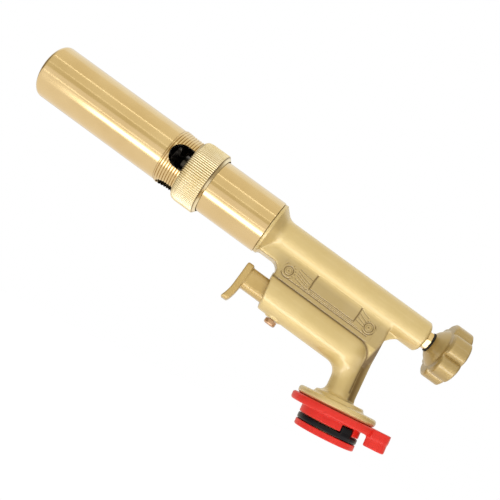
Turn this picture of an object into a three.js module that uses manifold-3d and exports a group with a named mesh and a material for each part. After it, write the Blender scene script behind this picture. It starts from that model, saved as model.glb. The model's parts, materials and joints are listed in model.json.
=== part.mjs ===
// Butane kitchen torch: a brass burner on a cast grip with a bayonet connector for a gas cartridge.
// Millimetres. The cartridge axis is Z and the seat under the connector is Z = 0. The burner lies
// along X with its nose towards -X, and everything coaxial with it is built in the barrel frame:
// x = 0 at the seam between sleeve and casting, x towards the tail, z up.
import * as THREE from 'three';
import { mergeVertices } from 'three/addons/utils/BufferGeometryUtils.js';
import Module from 'manifold-3d';

const wasm = await Module();
wasm.setup();

// Pose of the barrel over the cartridge
const barrelTilt = THREE.MathUtils.degToRad(10.4);
const axisMeet = 55.8;
const seatDrop = 55.8;

// Clearances
const gap = 0.3;
const slideGap = 0.45;
const overrun = 2;
const mergeDistance = 1e-4;

// Sleeve with the air slots and the thread of the air ring
const sleeveRadius = 12;
const sleeveWall = 2.1;
const sleeveLength = 50.5;
const sleeveSpigotLength = 7;
const reliefWidth = 0.15;
const reliefDepth = 0.25;
const threadPitch = 1.15;
const threadTurns = 17;
const threadDepth = 0.45;
const threadRise = 0.35;
const airHoleAhead = 44.1;
const airHoleRadius = 5.05;
const airHoleRun = 4;
const airHoleCount = 4;

// Flame tube
const flameTubeRadius = 11.95;
const flameTubeWall = 0.9;
const flameTubeLength = 60.5;
const lipRadius = 1.8;

// Knurled air ring and its rim
const ringRadius = 14.1;
const ringLength = 10.7;
const ringRearAhead = 30;
const ringChamfer = 0.8;
const ringFrontEase = 2.6;
const ringFrontDrop = 1.1;
const knurlCount = 92;
const knurlDepth = 0.4;
const rimLength = 1.1;
const rimInset = 0.9;

// Burner inside the flame tube
const burnerHeadLength = 5;
const burnerHeadAhead = 81;
const burnerPortCount = 8;
const burnerPortRadius = 1.3;
const burnerPortCircle = 7.4;
const burnerMouthRadius = 3;
const burnerLip = 1.5;
const mixTubeRadius = 4.6;
const mixTubeBore = 3.4;
const mixMouthAhead = 48.5;
const mixMouthRadius = 5.4;
const mixMouthLength = 3;
const mixFlangeLength = 1.2;

// Jet and the pipe that feeds it
const pipeRadius = 3;
const pipeBore = 1.2;
const pipeLength = 33;
const pipeSocketDepth = 6;
const pipeCollarRadius = 4.4;
const pipeCollarLength = 2.6;
const washerLength = 1;
const jetRadius = 4.3;
const jetLength = 18.2;
const jetOverlap = 4;
const jetTipRadius = 2.4;
const jetConeLength = 3;
const jetBore = 0.45;

// Spark electrode, its insulator and its lead
const sparkDrop = 7.3;
const insulatorRadius = 1.5;
const insulatorBore = 0.8;
const insulatorLength = 41.5;
const insulatorRearAhead = 47;
const electrodeRadius = 0.45;
const electrodeSteps = 14;
const electrodeTail = 1.2;
const electrodeReach = 4.6;
const electrodeHook = 2.6;
const leadRadius = 0.8;
const leadSteps = 30;
const leadChannelSteps = 22;
const leadBend = 3.2;
const leadSlopeDrop = 4.4;
const leadEntry = 9.5;

// Casting: flange, flare and upper handle tube
const flangeLength = 1.5;
const flareRadius = 11.6;
const flareSlope = THREE.MathUtils.degToRad(50);
const flareFillet = 5;
const handleRadius = 6.85;
const handleEnd = 76.8;
const handleChamfer = 1;
const valveRise = 0.7;
const spigotLength = 8;
const spigotWall = 1.1;

// Casting: web between the upper tube and the lower housing
const webHalf = 4.9;
const webBevel = 1.2;
const webNoseDrop = 10.3;
const webFront = 12.7;
const webFrontRound = 4;
const webRearOffset = 5.5;
const finDrop = 17;
const finHalf = 2.6;
const gussetHalf = 2.2;
const gussetReach = 4.8;
const gussetDrop = 5;

// Casting: lower housing with the igniter bore
const housingRadius = 7.8;
const housingDrop = 21.6;
const housingFront = 12;
const housingRake = THREE.MathUtils.degToRad(12.2);
const housingCorner = 54.4;
const housingWall = 2;
const housingBoreEnd = 48;
const screwBossRadius = 3.4;
const screwBossRise = 0.4;
const screwStation = 22.9;

// Casting: post and connector flange
const postRadius = 4.9;
const postForward = 2;
const postFillet = 3.4;
const elbowFillet = 4;
const stepRadius = 10.3;
const stepThick = 1.6;
const flangePlateRadius = 16.4;
const flangePlateThick = 2.9;
const flangePlateRound = 0.7;

// Trigger
const triggerHeight = 17.8;
const triggerWidth = 9.4;
const triggerThick = 3.2;
const triggerFront = 1.7;
const triggerTopDrop = 16.7;
const triggerSweep = 1.3;
const triggerSweepHeight = 7;
const triggerTopRound = 1.2;
const stemHeight = 9.8;
const stemWidth = 8.4;
const stemCorner = 3.2;
const stemDrop = 22.2;
const stemEnd = 15.4;
const stemBore = 3.7;
const triggerTravel = 6;

// Piezo igniter
const igniterLength = 21.7;
const igniterNoseRadius = 3.4;
const igniterNeckRadius = 4.4;
const igniterEndWall = 6.4;
const plungerRadius = 2.2;
const plungerLength = 14.8;
const springRadius = 1.7;
const springWire = 0.28;
const springTurns = 9;
const springSides = 5;
const igniterScrewHead = 2.5;
const igniterScrewHeadLength = 2.1;
const igniterScrewShank = 1.1;

// Gas valve in the tail
const chamberRadius = 2.6;
const chamberStart = 52;
const seatRingLength = 2.2;
const seatOrifice = 0.9;
const gasChannelRadius = 1.3;
const glandShankRadius = 3.1;
const glandShankLength = 8.9;
const glandBore = 2.15;
const glandAcrossFlats = 7;
const glandHeadLength = 2;
const needleInSeat = 1.2;
const needleConeLength = 3.5;
const needleLength = 8.5;
const needleRadius = 1.8;
const needleGroove = 1.1;
const needleGrooveAlong = 5.5;
const needleRingWire = 1;
const spindleRadius = 1.8;
const spindleCollarRadius = 2.15;
const spindleCollarLength = 3.6;
const spindleWasherRadius = 4.25;
const spindleWasherLength = 0.5;

// Control knob
const knobRadius = 12.5;
const knobLobes = 6;
const knobGroove = 2.3;
const knobHubRadius = 4.4;
const knobShoulder = 9.2;
const knobHubLength = 3.9;
const knobLobeLength = 7.5;
const knobTailLength = 1;
const knobTurn = THREE.MathUtils.degToRad(13);
const knobBore = 2.1;
const knobRecessRadius = 2.9;
const knobRecessDepth = 2.9;
const knobScrewHead = 2.4;
const knobScrewHeadLength = 1.9;
const knobScrewShank = 0.95;
const knobScrewShankLength = 5;

// Bayonet connector under the casting
const connectorSpigotRadius = 9.5;
const socketRadius = 6.6;
const socketDepth = 9.5;
const baseDiscRadius = 12.5;
const baseDiscThick = 2.4;
const bayonetThick = 2.2;
const skirtHeight = 3.2;
const lockFlangeRadius = 17.9;
const lockFlangeThick = 3.1;
const leverReach = 23.3;
const leverLipStart = 15.3;
const leverWidth = 9.6;
const leverLipHeight = 7.2;
const leverCorner = 1.6;
const leverTurn = THREE.MathUtils.degToRad(-20);
const toothTurn = THREE.MathUtils.degToRad(-65);
const toothWidth = 5.2;
const toothHeight = 2.8;
const connectorScrewCount = 3;
const connectorScrewHead = 1.5;
const connectorScrewHeadLength = 0.9;
const connectorScrewShank = 0.8;
const connectorScrewLength = 5.2;
const connectorScrewTurn = THREE.MathUtils.degToRad(90);

// Cartridge inlet
const inletRadius = 3;
const inletTop = 15;
const inletFlangeRadius = 4.8;
const inletFlangeThick = 1.6;
const inletPinRadius = 1.7;
const inletPinEnd = 4;
const inletBore = 0.7;
const sealWidth = 1.3;
const sealThick = 1.6;
const filterThick = 1.5;

// Facets round a full turn
const fineSides = 32;
const midSides = 24;
const smallSides = 12;
const wireSides = 8;
const hexSides = 6;

const quarterTurn = Math.PI / 2;
const fullTurn = Math.PI * 2;

// Sizes that follow from the ones above
const sleeveBore = sleeveRadius - sleeveWall;
const threadRoot = sleeveRadius - threadDepth + threadRise;
const threadCrest = sleeveRadius + threadRise;
const flameTubeBore = flameTubeRadius - flameTubeWall;
const flameTubeRear = -(sleeveLength + gap);
const flameTubeFront = flameTubeRear - flameTubeLength;
const baseTop = baseDiscThick;
const bayonetBottom = baseTop + gap;
const skirtBottom = bayonetBottom + bayonetThick + gap;
const lockFlangeBottom = skirtBottom + skirtHeight;
const lockFlangeTop = lockFlangeBottom + lockFlangeThick;
const flangePlateBottom = lockFlangeTop + gap;
const stepBottom = flangePlateBottom + flangePlateThick;
const stepTop = stepBottom + stepThick;
const ringBore = connectorSpigotRadius + gap;
const housingBore = housingRadius - housingWall;
const filletRise = flareFillet * (1 - Math.cos(flareSlope));
const coneLength = (flareRadius - handleRadius - filletRise) / Math.tan(flareSlope);
const flareEnd = flangeLength + coneLength + flareFillet * Math.sin(flareSlope);
const triggerBack = triggerFront + triggerThick;
const plungerStart = triggerBack + gap;
const plungerEnd = plungerStart + plungerLength;
const igniterNoseFront = triggerBack + triggerTravel + 2 * gap;
const igniterFront = stemEnd + triggerTravel + gap;
const igniterEnd = igniterFront + igniterLength;
const igniterBoreEnd = igniterEnd - igniterEndWall;
const seatRingStart = chamberStart + gap;
const needleTip = seatRingStart + needleInSeat;
const needleEnd = needleTip + needleLength;
const needleGrooveStart = needleTip + needleGrooveAlong;
const glandShankStart = handleEnd - glandShankLength;
const washerStart = handleEnd + gap + glandHeadLength + gap;
const knobFront = washerStart + spindleWasherLength + gap;
const lobesStart = knobFront + knobHubLength;
const lobesEnd = lobesStart + knobLobeLength;
const knobRear = lobesEnd + knobTailLength;
const spindleEnd = knobRear - knobRecessDepth - gap;
const screwCircle = (socketRadius + connectorSpigotRadius) / 2;
const seatAlong = axisMeet + seatDrop * Math.sin(barrelTilt);
const seatDown = seatDrop * Math.cos(barrelTilt);

// The geometry with shared vertices merged, no slivers of zero area, and its faces pointing out
function closedShell(geometry) {
  const bare = geometry.index ? geometry.toNonIndexed() : geometry.clone();
  for (const name of Object.keys(bare.attributes)) {
    if (name !== 'position') bare.deleteAttribute(name);
  }
  const merged = mergeVertices(bare, mergeDistance);
  const from = merged.index.array;
  const place = merged.attributes.position;
  const a = new THREE.Vector3();
  const b = new THREE.Vector3();
  const c = new THREE.Vector3();
  const kept = [];
  let volume = 0;
  for (let i = 0; i < from.length; i += 3) {
    const [p, q, r] = [from[i], from[i + 1], from[i + 2]];
    if (p === q || q === r || r === p) continue;
    kept.push(p, q, r);
    a.fromBufferAttribute(place, p);
    b.fromBufferAttribute(place, q);
    c.fromBufferAttribute(place, r);
    volume += a.dot(b.cross(c));
  }
  merged.setIndex(volume < 0 ? kept.reverse() : kept);
  return merged;
}

function solid(geometry) {
  const shell = closedShell(geometry);
  return new wasm.Manifold(new wasm.Mesh({
    numProp: 3,
    vertProperties: new Float32Array(shell.attributes.position.array),
    triVerts: new Uint32Array(shell.index.array),
  }));
}

function join(...geometries) {
  return backToGeometry(geometries.map(solid).reduce((all, next) => all.add(next)));
}

function cut(geometry, ...tools) {
  return backToGeometry(tools.map(solid).reduce((left, tool) => left.subtract(tool), solid(geometry)));
}

function common(geometry, other) {
  return backToGeometry(solid(geometry).intersect(solid(other)));
}

function backToGeometry(body) {
  const mesh = body.getMesh();
  const geometry = new THREE.BufferGeometry();
  geometry.setAttribute('position', new THREE.BufferAttribute(new Float32Array(mesh.vertProperties), 3));
  geometry.setIndex(new THREE.BufferAttribute(new Uint32Array(mesh.triVerts), 1));
  return geometry;
}

// A profile of [station, radius] points turned about the X axis
function turned(profile, sides = midSides) {
  const points = profile.map(([x, r]) => new THREE.Vector2(r, x));
  return new THREE.LatheGeometry(points, sides).rotateZ(-quarterTurn);
}

// The same about the cartridge axis, with heights above the seat
function turnedUp(profile, sides = midSides) {
  const points = profile.map(([z, r]) => new THREE.Vector2(r, z));
  return new THREE.LatheGeometry(points, sides).rotateX(quarterTurn);
}

function rod(start, end, radius, sides = midSides) {
  return turned([[start, 0], [start, radius], [end, radius], [end, 0]], sides);
}

function tube(start, end, outer, inner, sides = midSides) {
  return turned([[start, inner], [start, outer], [end, outer], [end, inner], [start, inner]], sides);
}

function rodUp(bottom, top, radius, sides = midSides) {
  return turnedUp([[bottom, 0], [bottom, radius], [top, radius], [top, 0]], sides);
}

function tubeUp(bottom, top, outer, inner, sides = midSides) {
  return turnedUp([[bottom, inner], [bottom, outer], [top, outer], [top, inner], [bottom, inner]], sides);
}

// A quarter round between two directions, as [station, radius] points
function arc(centreX, centreR, radius, from, to, steps = 4) {
  return Array.from({ length: steps + 1 }, (_, i) => {
    const turn = from + (to - from) * i / steps;
    return [centreX + radius * Math.cos(turn), centreR + radius * Math.sin(turn)];
  });
}

// An outline in the upright XZ plane, given a thickness across Y and a bevel on both faces
function plate(outline, half, bevel = 0) {
  const shape = new THREE.Shape(outline.map(([x, z]) => new THREE.Vector2(x, z)));
  const geometry = new THREE.ExtrudeGeometry(shape, {
    depth: 2 * (half - bevel),
    bevelEnabled: bevel > 0,
    bevelThickness: bevel,
    bevelSize: bevel,
    bevelOffset: -bevel,
    bevelSegments: 1,
    curveSegments: wireSides,
  });
  return geometry.translate(0, 0, bevel - half).rotateX(quarterTurn);
}

// A block between two corners
function block(low, high) {
  const size = high.map((value, i) => value - low[i]);
  const middle = high.map((value, i) => (value + low[i]) / 2);
  return new THREE.BoxGeometry(...size).translate(...middle);
}

// A round wire or bore along a curve
function wire(curve, radius, sides, steps) {
  const section = new THREE.Shape(Array.from({ length: sides }, (_, i) => {
    const turn = fullTurn * i / sides;
    return new THREE.Vector2(radius * Math.cos(turn), radius * Math.sin(turn));
  }));
  return new THREE.ExtrudeGeometry(section, { steps, bevelEnabled: false, extrudePath: curve });
}

// From the cartridge frame to the barrel frame
function toBarrel(geometry) {
  return geometry.rotateY(-barrelTilt).translate(seatAlong, 0, -seatDown);
}

function shifted(geometry, rise) {
  return geometry.translate(0, 0, rise);
}

const torch = new THREE.Group();
torch.name = 'kitchen_torch';
const barrel = new THREE.Group();
barrel.rotation.y = barrelTilt;
barrel.position.set(
  -axisMeet * Math.cos(barrelTilt),
  0,
  seatDrop + axisMeet * Math.sin(barrelTilt),
);
torch.add(barrel);

const finishes = {
  tubeBrass: { color: 0xd9bd80, roughness: 0.3, metalness: 0.9 },
  castGold: { color: 0xcdb478, roughness: 0.45, metalness: 0.6 },
  knobGold: { color: 0xb39c66, roughness: 0.5, metalness: 0.6 },
  plainBrass: { color: 0xc9a050, roughness: 0.35, metalness: 1 },
  burntSteel: { color: 0x35332f, roughness: 0.6, metalness: 0.7 },
  steel: { color: 0xb9bcc0, roughness: 0.35, metalness: 1 },
  copper: { color: 0xcf8f70, roughness: 0.35, metalness: 1 },
  ceramic: { color: 0xece7dc, roughness: 0.4, metalness: 0 },
  redPlastic: { color: 0xe8392c, roughness: 0.4, metalness: 0 },
  blackPlastic: { color: 0x1b1f29, roughness: 0.35, metalness: 0 },
  blackRubber: { color: 0x17171a, roughness: 0.7, metalness: 0 },
};

function add(group, name, finish, geometry) {
  const mesh = new THREE.Mesh(closedShell(geometry), new THREE.MeshStandardMaterial(finishes[finish]));
  mesh.name = name;
  group.add(mesh);
}

// Rear tube of the burner: spigot for the flame tube, relief, thread for the air ring, four air slots
function barrelSleeve() {
  const shoulder = -sleeveLength;
  const threadStart = shoulder + reliefWidth;
  const profile = [
    [shoulder - sleeveSpigotLength, sleeveBore],
    [shoulder - sleeveSpigotLength, flameTubeBore - gap],
    [shoulder, flameTubeBore - gap],
    [shoulder, threadRoot - reliefDepth],
    [threadStart, threadRoot - reliefDepth],
  ];
  for (let turn = 0; turn < threadTurns; turn += 1) {
    const start = threadStart + turn * threadPitch;
    profile.push([start + threadPitch / 4, threadRoot], [start + threadPitch * 3 / 4, threadCrest]);
  }
  const threadEnd = threadStart + threadTurns * threadPitch;
  profile.push([threadEnd, threadRoot], [threadEnd, sleeveRadius], [-gap, sleeveRadius]);
  profile.push([-gap, sleeveBore], [shoulder - sleeveSpigotLength, sleeveBore]);
  const outer = sleeveRadius + overrun;
  const end = rodUp(sleeveBore / 2, outer, airHoleRadius, smallSides);
  const run = block([0, -airHoleRadius, sleeveBore / 2], [airHoleRun, airHoleRadius, outer]);
  const hole = join(end, run, end.clone().translate(airHoleRun, 0, 0));
  const holes = Array.from({ length: airHoleCount }, (_, i) => (
    hole.clone().rotateX(fullTurn * i / airHoleCount).translate(-airHoleAhead, 0, 0)
  ));
  return cut(turned(profile, fineSides), ...holes);
}

function flameTube() {
  const lipCentre = flameTubeFront + lipRadius;
  const lipHub = flameTubeRadius - lipRadius;
  const innerLip = lipRadius - flameTubeWall;
  return turned([
    [flameTubeRear, flameTubeBore],
    [flameTubeRear, flameTubeRadius],
    ...arc(lipCentre, lipHub, lipRadius, quarterTurn, Math.PI, 4),
    ...arc(lipCentre, lipHub, innerLip, Math.PI, quarterTurn, 3),
    [flameTubeRear, flameTubeBore],
  ], fineSides);
}

// Flutes along the ring, shaved by a turned profile so that both edges are eased
function airRing() {
  const rear = -ringRearAhead;
  const front = rear - ringLength;
  const teeth = Array.from({ length: knurlCount * 2 }, (_, i) => {
    const radius = ringRadius - (i % 2) * knurlDepth;
    const turn = Math.PI * i / knurlCount;
    return new THREE.Vector2(radius * Math.cos(turn), radius * Math.sin(turn));
  });
  const fluted = new THREE.ExtrudeGeometry(new THREE.Shape(teeth), { depth: ringLength, bevelEnabled: false })
    .rotateY(quarterTurn).translate(front, 0, 0);
  const bore = threadCrest + gap;
  const easing = turned([
    [front, bore],
    [front, ringRadius - ringFrontDrop],
    [front + ringFrontEase / 3, ringRadius - ringFrontDrop / 3],
    [front + ringFrontEase, ringRadius],
    [rear - ringChamfer, ringRadius],
    [rear, ringRadius - knurlDepth],
    [rear, bore],
    [front, bore],
  ], fineSides);
  return common(fluted, easing);
}

function airRingRim() {
  const front = -ringRearAhead + gap;
  const bore = threadCrest + gap;
  const edge = ringRadius - rimInset;
  return turned([
    [front, bore], [front, edge], [front + rimLength / 2, edge],
    [front + rimLength, edge - rimLength / 2], [front + rimLength, bore], [front, bore],
  ], fineSides);
}

function sparkHole(start, end) {
  return shifted(rod(start, end, insulatorRadius + gap, smallSides), -sparkDrop);
}

// Flame holder: a ring of ports round the mouth of the mixing tube
function burnerHead() {
  const rear = -burnerHeadAhead;
  const front = rear - burnerHeadLength;
  const outer = flameTubeBore - gap;
  const socket = mixTubeRadius + gap;
  const body = turned([
    [front, burnerMouthRadius], [front, outer], [rear, outer], [rear, socket],
    [front + burnerLip, socket], [front + burnerLip, burnerMouthRadius], [front, burnerMouthRadius],
  ], fineSides);
  const ports = [];
  for (let i = 1; i < burnerPortCount; i += 1) {
    const turn = fullTurn * i / burnerPortCount - quarterTurn;
    ports.push(rod(front - overrun, rear + overrun, burnerPortRadius, wireSides)
      .translate(0, burnerPortCircle * Math.cos(turn), burnerPortCircle * Math.sin(turn)));
  }
  return cut(body, sparkHole(front - overrun, rear + overrun), ...ports);
}

// Venturi tube with a bell mouth in front of the jet and a flange that seats in the sleeve
function mixingTube() {
  const mouth = -mixMouthAhead;
  const throat = mouth - mixMouthLength;
  const flangeFront = throat - mixFlangeLength;
  const front = -(burnerHeadAhead + burnerHeadLength - burnerLip - gap);
  const body = turned([
    [front, mixTubeBore], [front, mixTubeRadius],
    [flangeFront, mixTubeRadius], [flangeFront, sleeveBore - gap],
    [throat, sleeveBore - gap], [throat, mixTubeRadius],
    [mouth, mixMouthRadius], [mouth, mixMouthRadius - gap], [throat, mixTubeBore], [front, mixTubeBore],
  ], midSides);
  return cut(body, sparkHole(flangeFront - overrun, throat + overrun));
}

function jetPipe() {
  const collarFront = -(gap + washerLength + gap + pipeCollarLength);
  return turned([
    [-pipeLength, pipeBore], [-pipeLength, pipeRadius], [collarFront, pipeRadius],
    [collarFront, pipeCollarRadius], [collarFront + pipeCollarLength, pipeCollarRadius],
    [collarFront + pipeCollarLength, pipeRadius], [pipeSocketDepth - gap, pipeRadius],
    [pipeSocketDepth - gap, pipeBore], [-pipeLength, pipeBore],
  ], smallSides);
}

function pipeWasher() {
  return tube(-gap - washerLength, -gap, pipeCollarRadius, pipeRadius + gap, smallSides);
}

function gasJet() {
  const rear = -(pipeLength - jetOverlap);
  const floor = -(pipeLength + gap);
  const tip = rear - jetLength;
  return turned([
    [rear, pipeRadius + gap], [rear, jetRadius], [tip + jetConeLength, jetRadius], [tip, jetTipRadius],
    [tip, jetBore], [floor, jetBore], [floor, pipeRadius + gap], [rear, pipeRadius + gap],
  ], midSides);
}

function electrodeInsulator() {
  const rear = -insulatorRearAhead;
  return shifted(tube(rear - insulatorLength, rear, insulatorRadius, insulatorBore, smallSides), -sparkDrop);
}

// Straight through the insulator, then hooked towards the burner axis
function sparkElectrode() {
  const front = -(insulatorRearAhead + insulatorLength);
  const bend = front - electrodeReach;
  const curve = new THREE.CatmullRomCurve3([
    new THREE.Vector3(-insulatorRearAhead + electrodeTail, 0, -sparkDrop),
    new THREE.Vector3((bend - insulatorRearAhead) / 2, 0, -sparkDrop),
    new THREE.Vector3(front, 0, -sparkDrop),
    new THREE.Vector3(bend, 0, -sparkDrop),
    new THREE.Vector3(bend - electrodeHook / 2, 0, -sparkDrop + electrodeHook / 2),
    new THREE.Vector3(bend - electrodeHook, 0, -sparkDrop + electrodeHook),
  ], false, 'centripetal');
  return wire(curve, electrodeRadius, hexSides, electrodeSteps);
}

// Route of the high-tension lead: back of the igniter, up into the web, forward to the electrode
function leadCurve(points) {
  return new THREE.CatmullRomCurve3(points.map(([x, z]) => new THREE.Vector3(x, 0, z)), false, 'centripetal');
}

const leadStart = [igniterEnd + gap, -housingDrop];
const leadTurn = housingBoreEnd - 2 * leadRadius;
const leadTop = -(sparkDrop + leadSlopeDrop);
const leadClimb = [
  [leadStart[0] + leadRadius, -housingDrop],
  [leadTurn - leadRadius, -housingDrop + leadBend / 2],
  [leadTurn, -housingDrop + leadBend],
  [leadTurn, leadTop - leadBend],
  [leadTurn - leadBend / 4, leadTop - leadBend / 3],
  [leadTurn - leadBend, leadTop],
];
const leadForward = [
  [leadEntry, -sparkDrop - leadRadius],
  [0, -sparkDrop],
  [-spigotLength, -sparkDrop],
];
const leadFront = [-insulatorRearAhead + electrodeTail + gap, -sparkDrop];

function ignitionLead() {
  const route = leadCurve([leadStart, ...leadClimb, ...leadForward, leadFront]);
  return wire(route, leadRadius, wireSides, leadSteps);
}

function leadChannel() {
  return wire(leadCurve([...leadClimb, ...leadForward]), leadRadius + slideGap, wireSides, leadChannelSteps);
}

// Upper tube with its flange and flare, then everything below it, then every bore
function castBody() {
  const flare = turned([
    [0, 0], [0, sleeveRadius - gap], [flangeLength, sleeveRadius - gap], [flangeLength, flareRadius],
    ...arc(flareEnd, handleRadius + flareFillet, flareFillet, Math.PI * 1.5 - flareSlope, Math.PI * 1.5, 5)
      .map(([x, r]) => [x, r - valveRise]),
    [flareEnd + overrun, 0],
  ], fineSides);
  const handle = shifted(turned([
    [flangeLength, 0], [flangeLength, handleRadius], [handleEnd - handleChamfer, handleRadius],
    [handleEnd, handleRadius - handleChamfer], [handleEnd, 0],
  ], fineSides), valveRise);
  const spigotRadius = sleeveBore - gap;
  const spigot = tube(-spigotLength, flangeLength / 2, spigotRadius, spigotRadius - spigotWall, fineSides);
  const body = join(flare, handle, spigot, web(), fin(), gusset(), housing(), post(), connectorFlange());
  return cut(body, ...castingBores());
}

// Distance of the casting's cartridge axis from the seam, at a drop below the barrel axis
function axisAt(drop) {
  return axisMeet + drop * Math.tan(barrelTilt);
}

function web() {
  const roundTop = -webNoseDrop;
  const frontX = webFront;
  const corner = arc(frontX - webFrontRound, roundTop - webFrontRound, webFrontRound, quarterTurn, 0, 4);
  return plate([
    [flangeLength / 2, -handleRadius / 2],
    [flangeLength / 2, roundTop],
    ...corner,
    [frontX, -housingDrop],
    [axisAt(housingDrop), -housingDrop],
    [axisAt(finDrop) + webRearOffset, -finDrop],
    [axisAt(handleRadius) + webRearOffset, -handleRadius / 2],
  ], webHalf, webBevel);
}

// Thinner fin that carries the web's rear edge down behind the post to the flange
function fin() {
  const foot = seatDown - stepTop;
  return plate([
    [axisAt(finDrop), -finDrop + finHalf],
    [axisAt(foot), -foot - webBevel],
    [axisAt(foot) + webRearOffset + webBevel, -foot - webBevel],
    [axisAt(foot - postFillet) + webRearOffset, -foot + postFillet],
    [axisAt(finDrop) + webRearOffset, -finDrop + finHalf],
  ], finHalf, webBevel / 2);
}

function gusset() {
  const low = -handleRadius + valveRise - gussetDrop;
  const rear = axisAt(-low) + webRearOffset;
  return plate([
    [rear - webRearOffset, valveRise],
    [rear - webRearOffset, low],
    [rear, low],
    [rear + gussetReach / 2, low + gussetDrop * 3 / 5],
    [rear + gussetReach, low + gussetDrop],
    [rear + gussetReach, valveRise],
  ], gussetHalf);
}

function housing() {
  const straight = rod(housingFront - overrun, housingCorner, housingRadius, fineSides);
  const elbow = new THREE.SphereGeometry(housingRadius, midSides, midSides / 2)
    .rotateX(quarterTurn).translate(housingCorner, 0, -housingDrop);
  const boss = rod(0, housingRadius + screwBossRise, screwBossRadius, smallSides)
    .rotateY(quarterTurn).translate(screwStation, 0, -housingDrop);
  const rakeDepth = 4 * housingRadius;
  const face = block([-rakeDepth, -rakeDepth, -rakeDepth], [0, rakeDepth, rakeDepth])
    .rotateY(-housingRake).translate(housingFront, 0, -housingDrop + housingRadius);
  return cut(join(shifted(straight, -housingDrop), elbow, boss), face);
}

// Round post down to the connector, with a fillet under the elbow and one above the flange
function post() {
  const top = seatDown - housingDrop;
  const shaft = turnedUp([
    [stepTop - stepThick / 2, 0],
    [stepTop - stepThick / 2, postRadius + postFillet],
    ...arc(stepTop + postFillet, postRadius + postFillet, postFillet, Math.PI, Math.PI * 1.5, 4),
    [top, postRadius],
    [top, 0],
  ], midSides);
  const floor = housingDrop + housingRadius - gap;
  const inner = axisAt(floor) - postForward - postRadius + gap;
  const fillet = plate([
    [inner - elbowFillet, -floor],
    ...arc(inner - elbowFillet, -floor - elbowFillet, elbowFillet, quarterTurn, 0, 4),
    [inner + postRadius, -floor - elbowFillet],
    [inner + postRadius, -housingDrop],
    [inner - elbowFillet, -housingDrop],
  ], webHalf / 2 + webBevel, webBevel);
  return join(toBarrel(shaft.translate(-postForward, 0, 0)), fillet);
}

function connectorFlange() {
  const edge = flangePlateRound;
  return toBarrel(turnedUp([
    [bayonetBottom, 0],
    [bayonetBottom, connectorSpigotRadius],
    [flangePlateBottom, connectorSpigotRadius],
    [flangePlateBottom, flangePlateRadius - edge],
    [flangePlateBottom + edge, flangePlateRadius],
    [stepBottom - edge, flangePlateRadius],
    [stepBottom, flangePlateRadius - edge],
    [stepBottom, stepRadius],
    [stepTop - edge / 2, stepRadius],
    [stepTop, stepRadius - edge],
    [stepTop, 0],
  ], fineSides));
}

function castingBores() {
  const inletBoreRadius = inletRadius + gap;
  const screwHole = rodUp(0, baseTop + connectorScrewLength + gap, connectorScrewShank + gap, wireSides);
  const screwHoles = Array.from({ length: connectorScrewCount }, (_, i) => (
    toBarrel(screwHole.clone().translate(screwCircle, 0, 0)
      .rotateZ(connectorScrewTurn + fullTurn * i / connectorScrewCount))
  ));
  return [
    shifted(rod(0, housingBoreEnd, housingBore), -housingDrop),
    rod(0, housingRadius + screwBossRise + overrun, igniterScrewShank + gap, wireSides)
      .rotateY(quarterTurn).translate(screwStation, 0, -housingDrop),
    shifted(rod(chamberStart, glandShankStart - gap, chamberRadius), valveRise),
    shifted(rod(glandShankStart - gap, handleEnd + overrun, glandShankRadius + gap), valveRise),
    shifted(rod(pipeSocketDepth / 2, chamberStart + overrun, gasChannelRadius, smallSides), valveRise),
    rod(-overrun, pipeSocketDepth, pipeRadius + gap, smallSides),
    toBarrel(rodUp(0, socketDepth, socketRadius)),
    toBarrel(rodUp(0, inletTop + filterThick + 2 * gap, inletBoreRadius, smallSides)),
    toBarrel(rodUp(0, seatDrop, gasChannelRadius, smallSides)),
    leadChannel(),
    ...screwHoles,
  ];
}

// Plate with a rounded top and a foot swept forward, on a hollow stem that slides in the housing
function triggerShape() {
  const back = triggerBack;
  const top = -triggerTopDrop;
  const bottom = top - triggerHeight;
  const sweepTop = bottom + triggerSweepHeight;
  const padOutline = [
    [triggerFront, top - triggerTopRound],
    [triggerFront + triggerTopRound, top],
    [back, top],
    [back, sweepTop],
    [back - triggerSweep / 2, bottom + triggerSweepHeight / 3],
    [back - triggerSweep, bottom],
    [triggerFront - triggerSweep, bottom],
    [triggerFront - triggerSweep / 3, sweepTop - triggerSweepHeight / 3],
    [triggerFront, sweepTop],
  ];
  const pad = plate(padOutline, triggerWidth / 2, triggerThick / 8);
  const round = new THREE.Shape();
  const halfW = stemWidth / 2 - stemCorner;
  const halfH = stemHeight / 2 - stemCorner;
  round.absarc(halfW, halfH, stemCorner, 0, quarterTurn);
  round.absarc(-halfW, halfH, stemCorner, quarterTurn, Math.PI);
  round.absarc(-halfW, -halfH, stemCorner, Math.PI, 3 * quarterTurn);
  round.absarc(halfW, -halfH, stemCorner, 3 * quarterTurn, fullTurn);
  const stemStart = back - triggerThick / 2;
  const stem = new THREE.ExtrudeGeometry(round, {
    depth: stemEnd - stemStart, bevelEnabled: false, curveSegments: 3,
  }).rotateZ(quarterTurn).rotateY(quarterTurn).translate(stemStart, 0, -stemDrop);
  const bore = shifted(rod(back, stemEnd + overrun, stemBore), -housingDrop);
  return cut(join(pad, stem), bore);
}

function igniterPlunger() {
  return shifted(rod(plungerStart, plungerEnd, plungerRadius, smallSides), -housingDrop);
}

// Piezo case: a nose that guides the plunger, a neck for the screw and the body behind it
function igniterCase() {
  const bodyRadius = housingBore - gap;
  const shoulder = screwStation + igniterScrewShank + gap;
  const inner = plungerRadius + gap;
  return shifted(turned([
    [igniterNoseFront, inner], [igniterNoseFront, igniterNoseRadius], [igniterFront, igniterNoseRadius],
    [igniterFront, igniterNeckRadius], [shoulder, igniterNeckRadius],
    [shoulder, bodyRadius], [igniterEnd, bodyRadius],
    [igniterEnd, 0], [igniterBoreEnd, 0], [igniterBoreEnd, inner], [igniterNoseFront, inner],
  ], midSides), -housingDrop);
}

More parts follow.
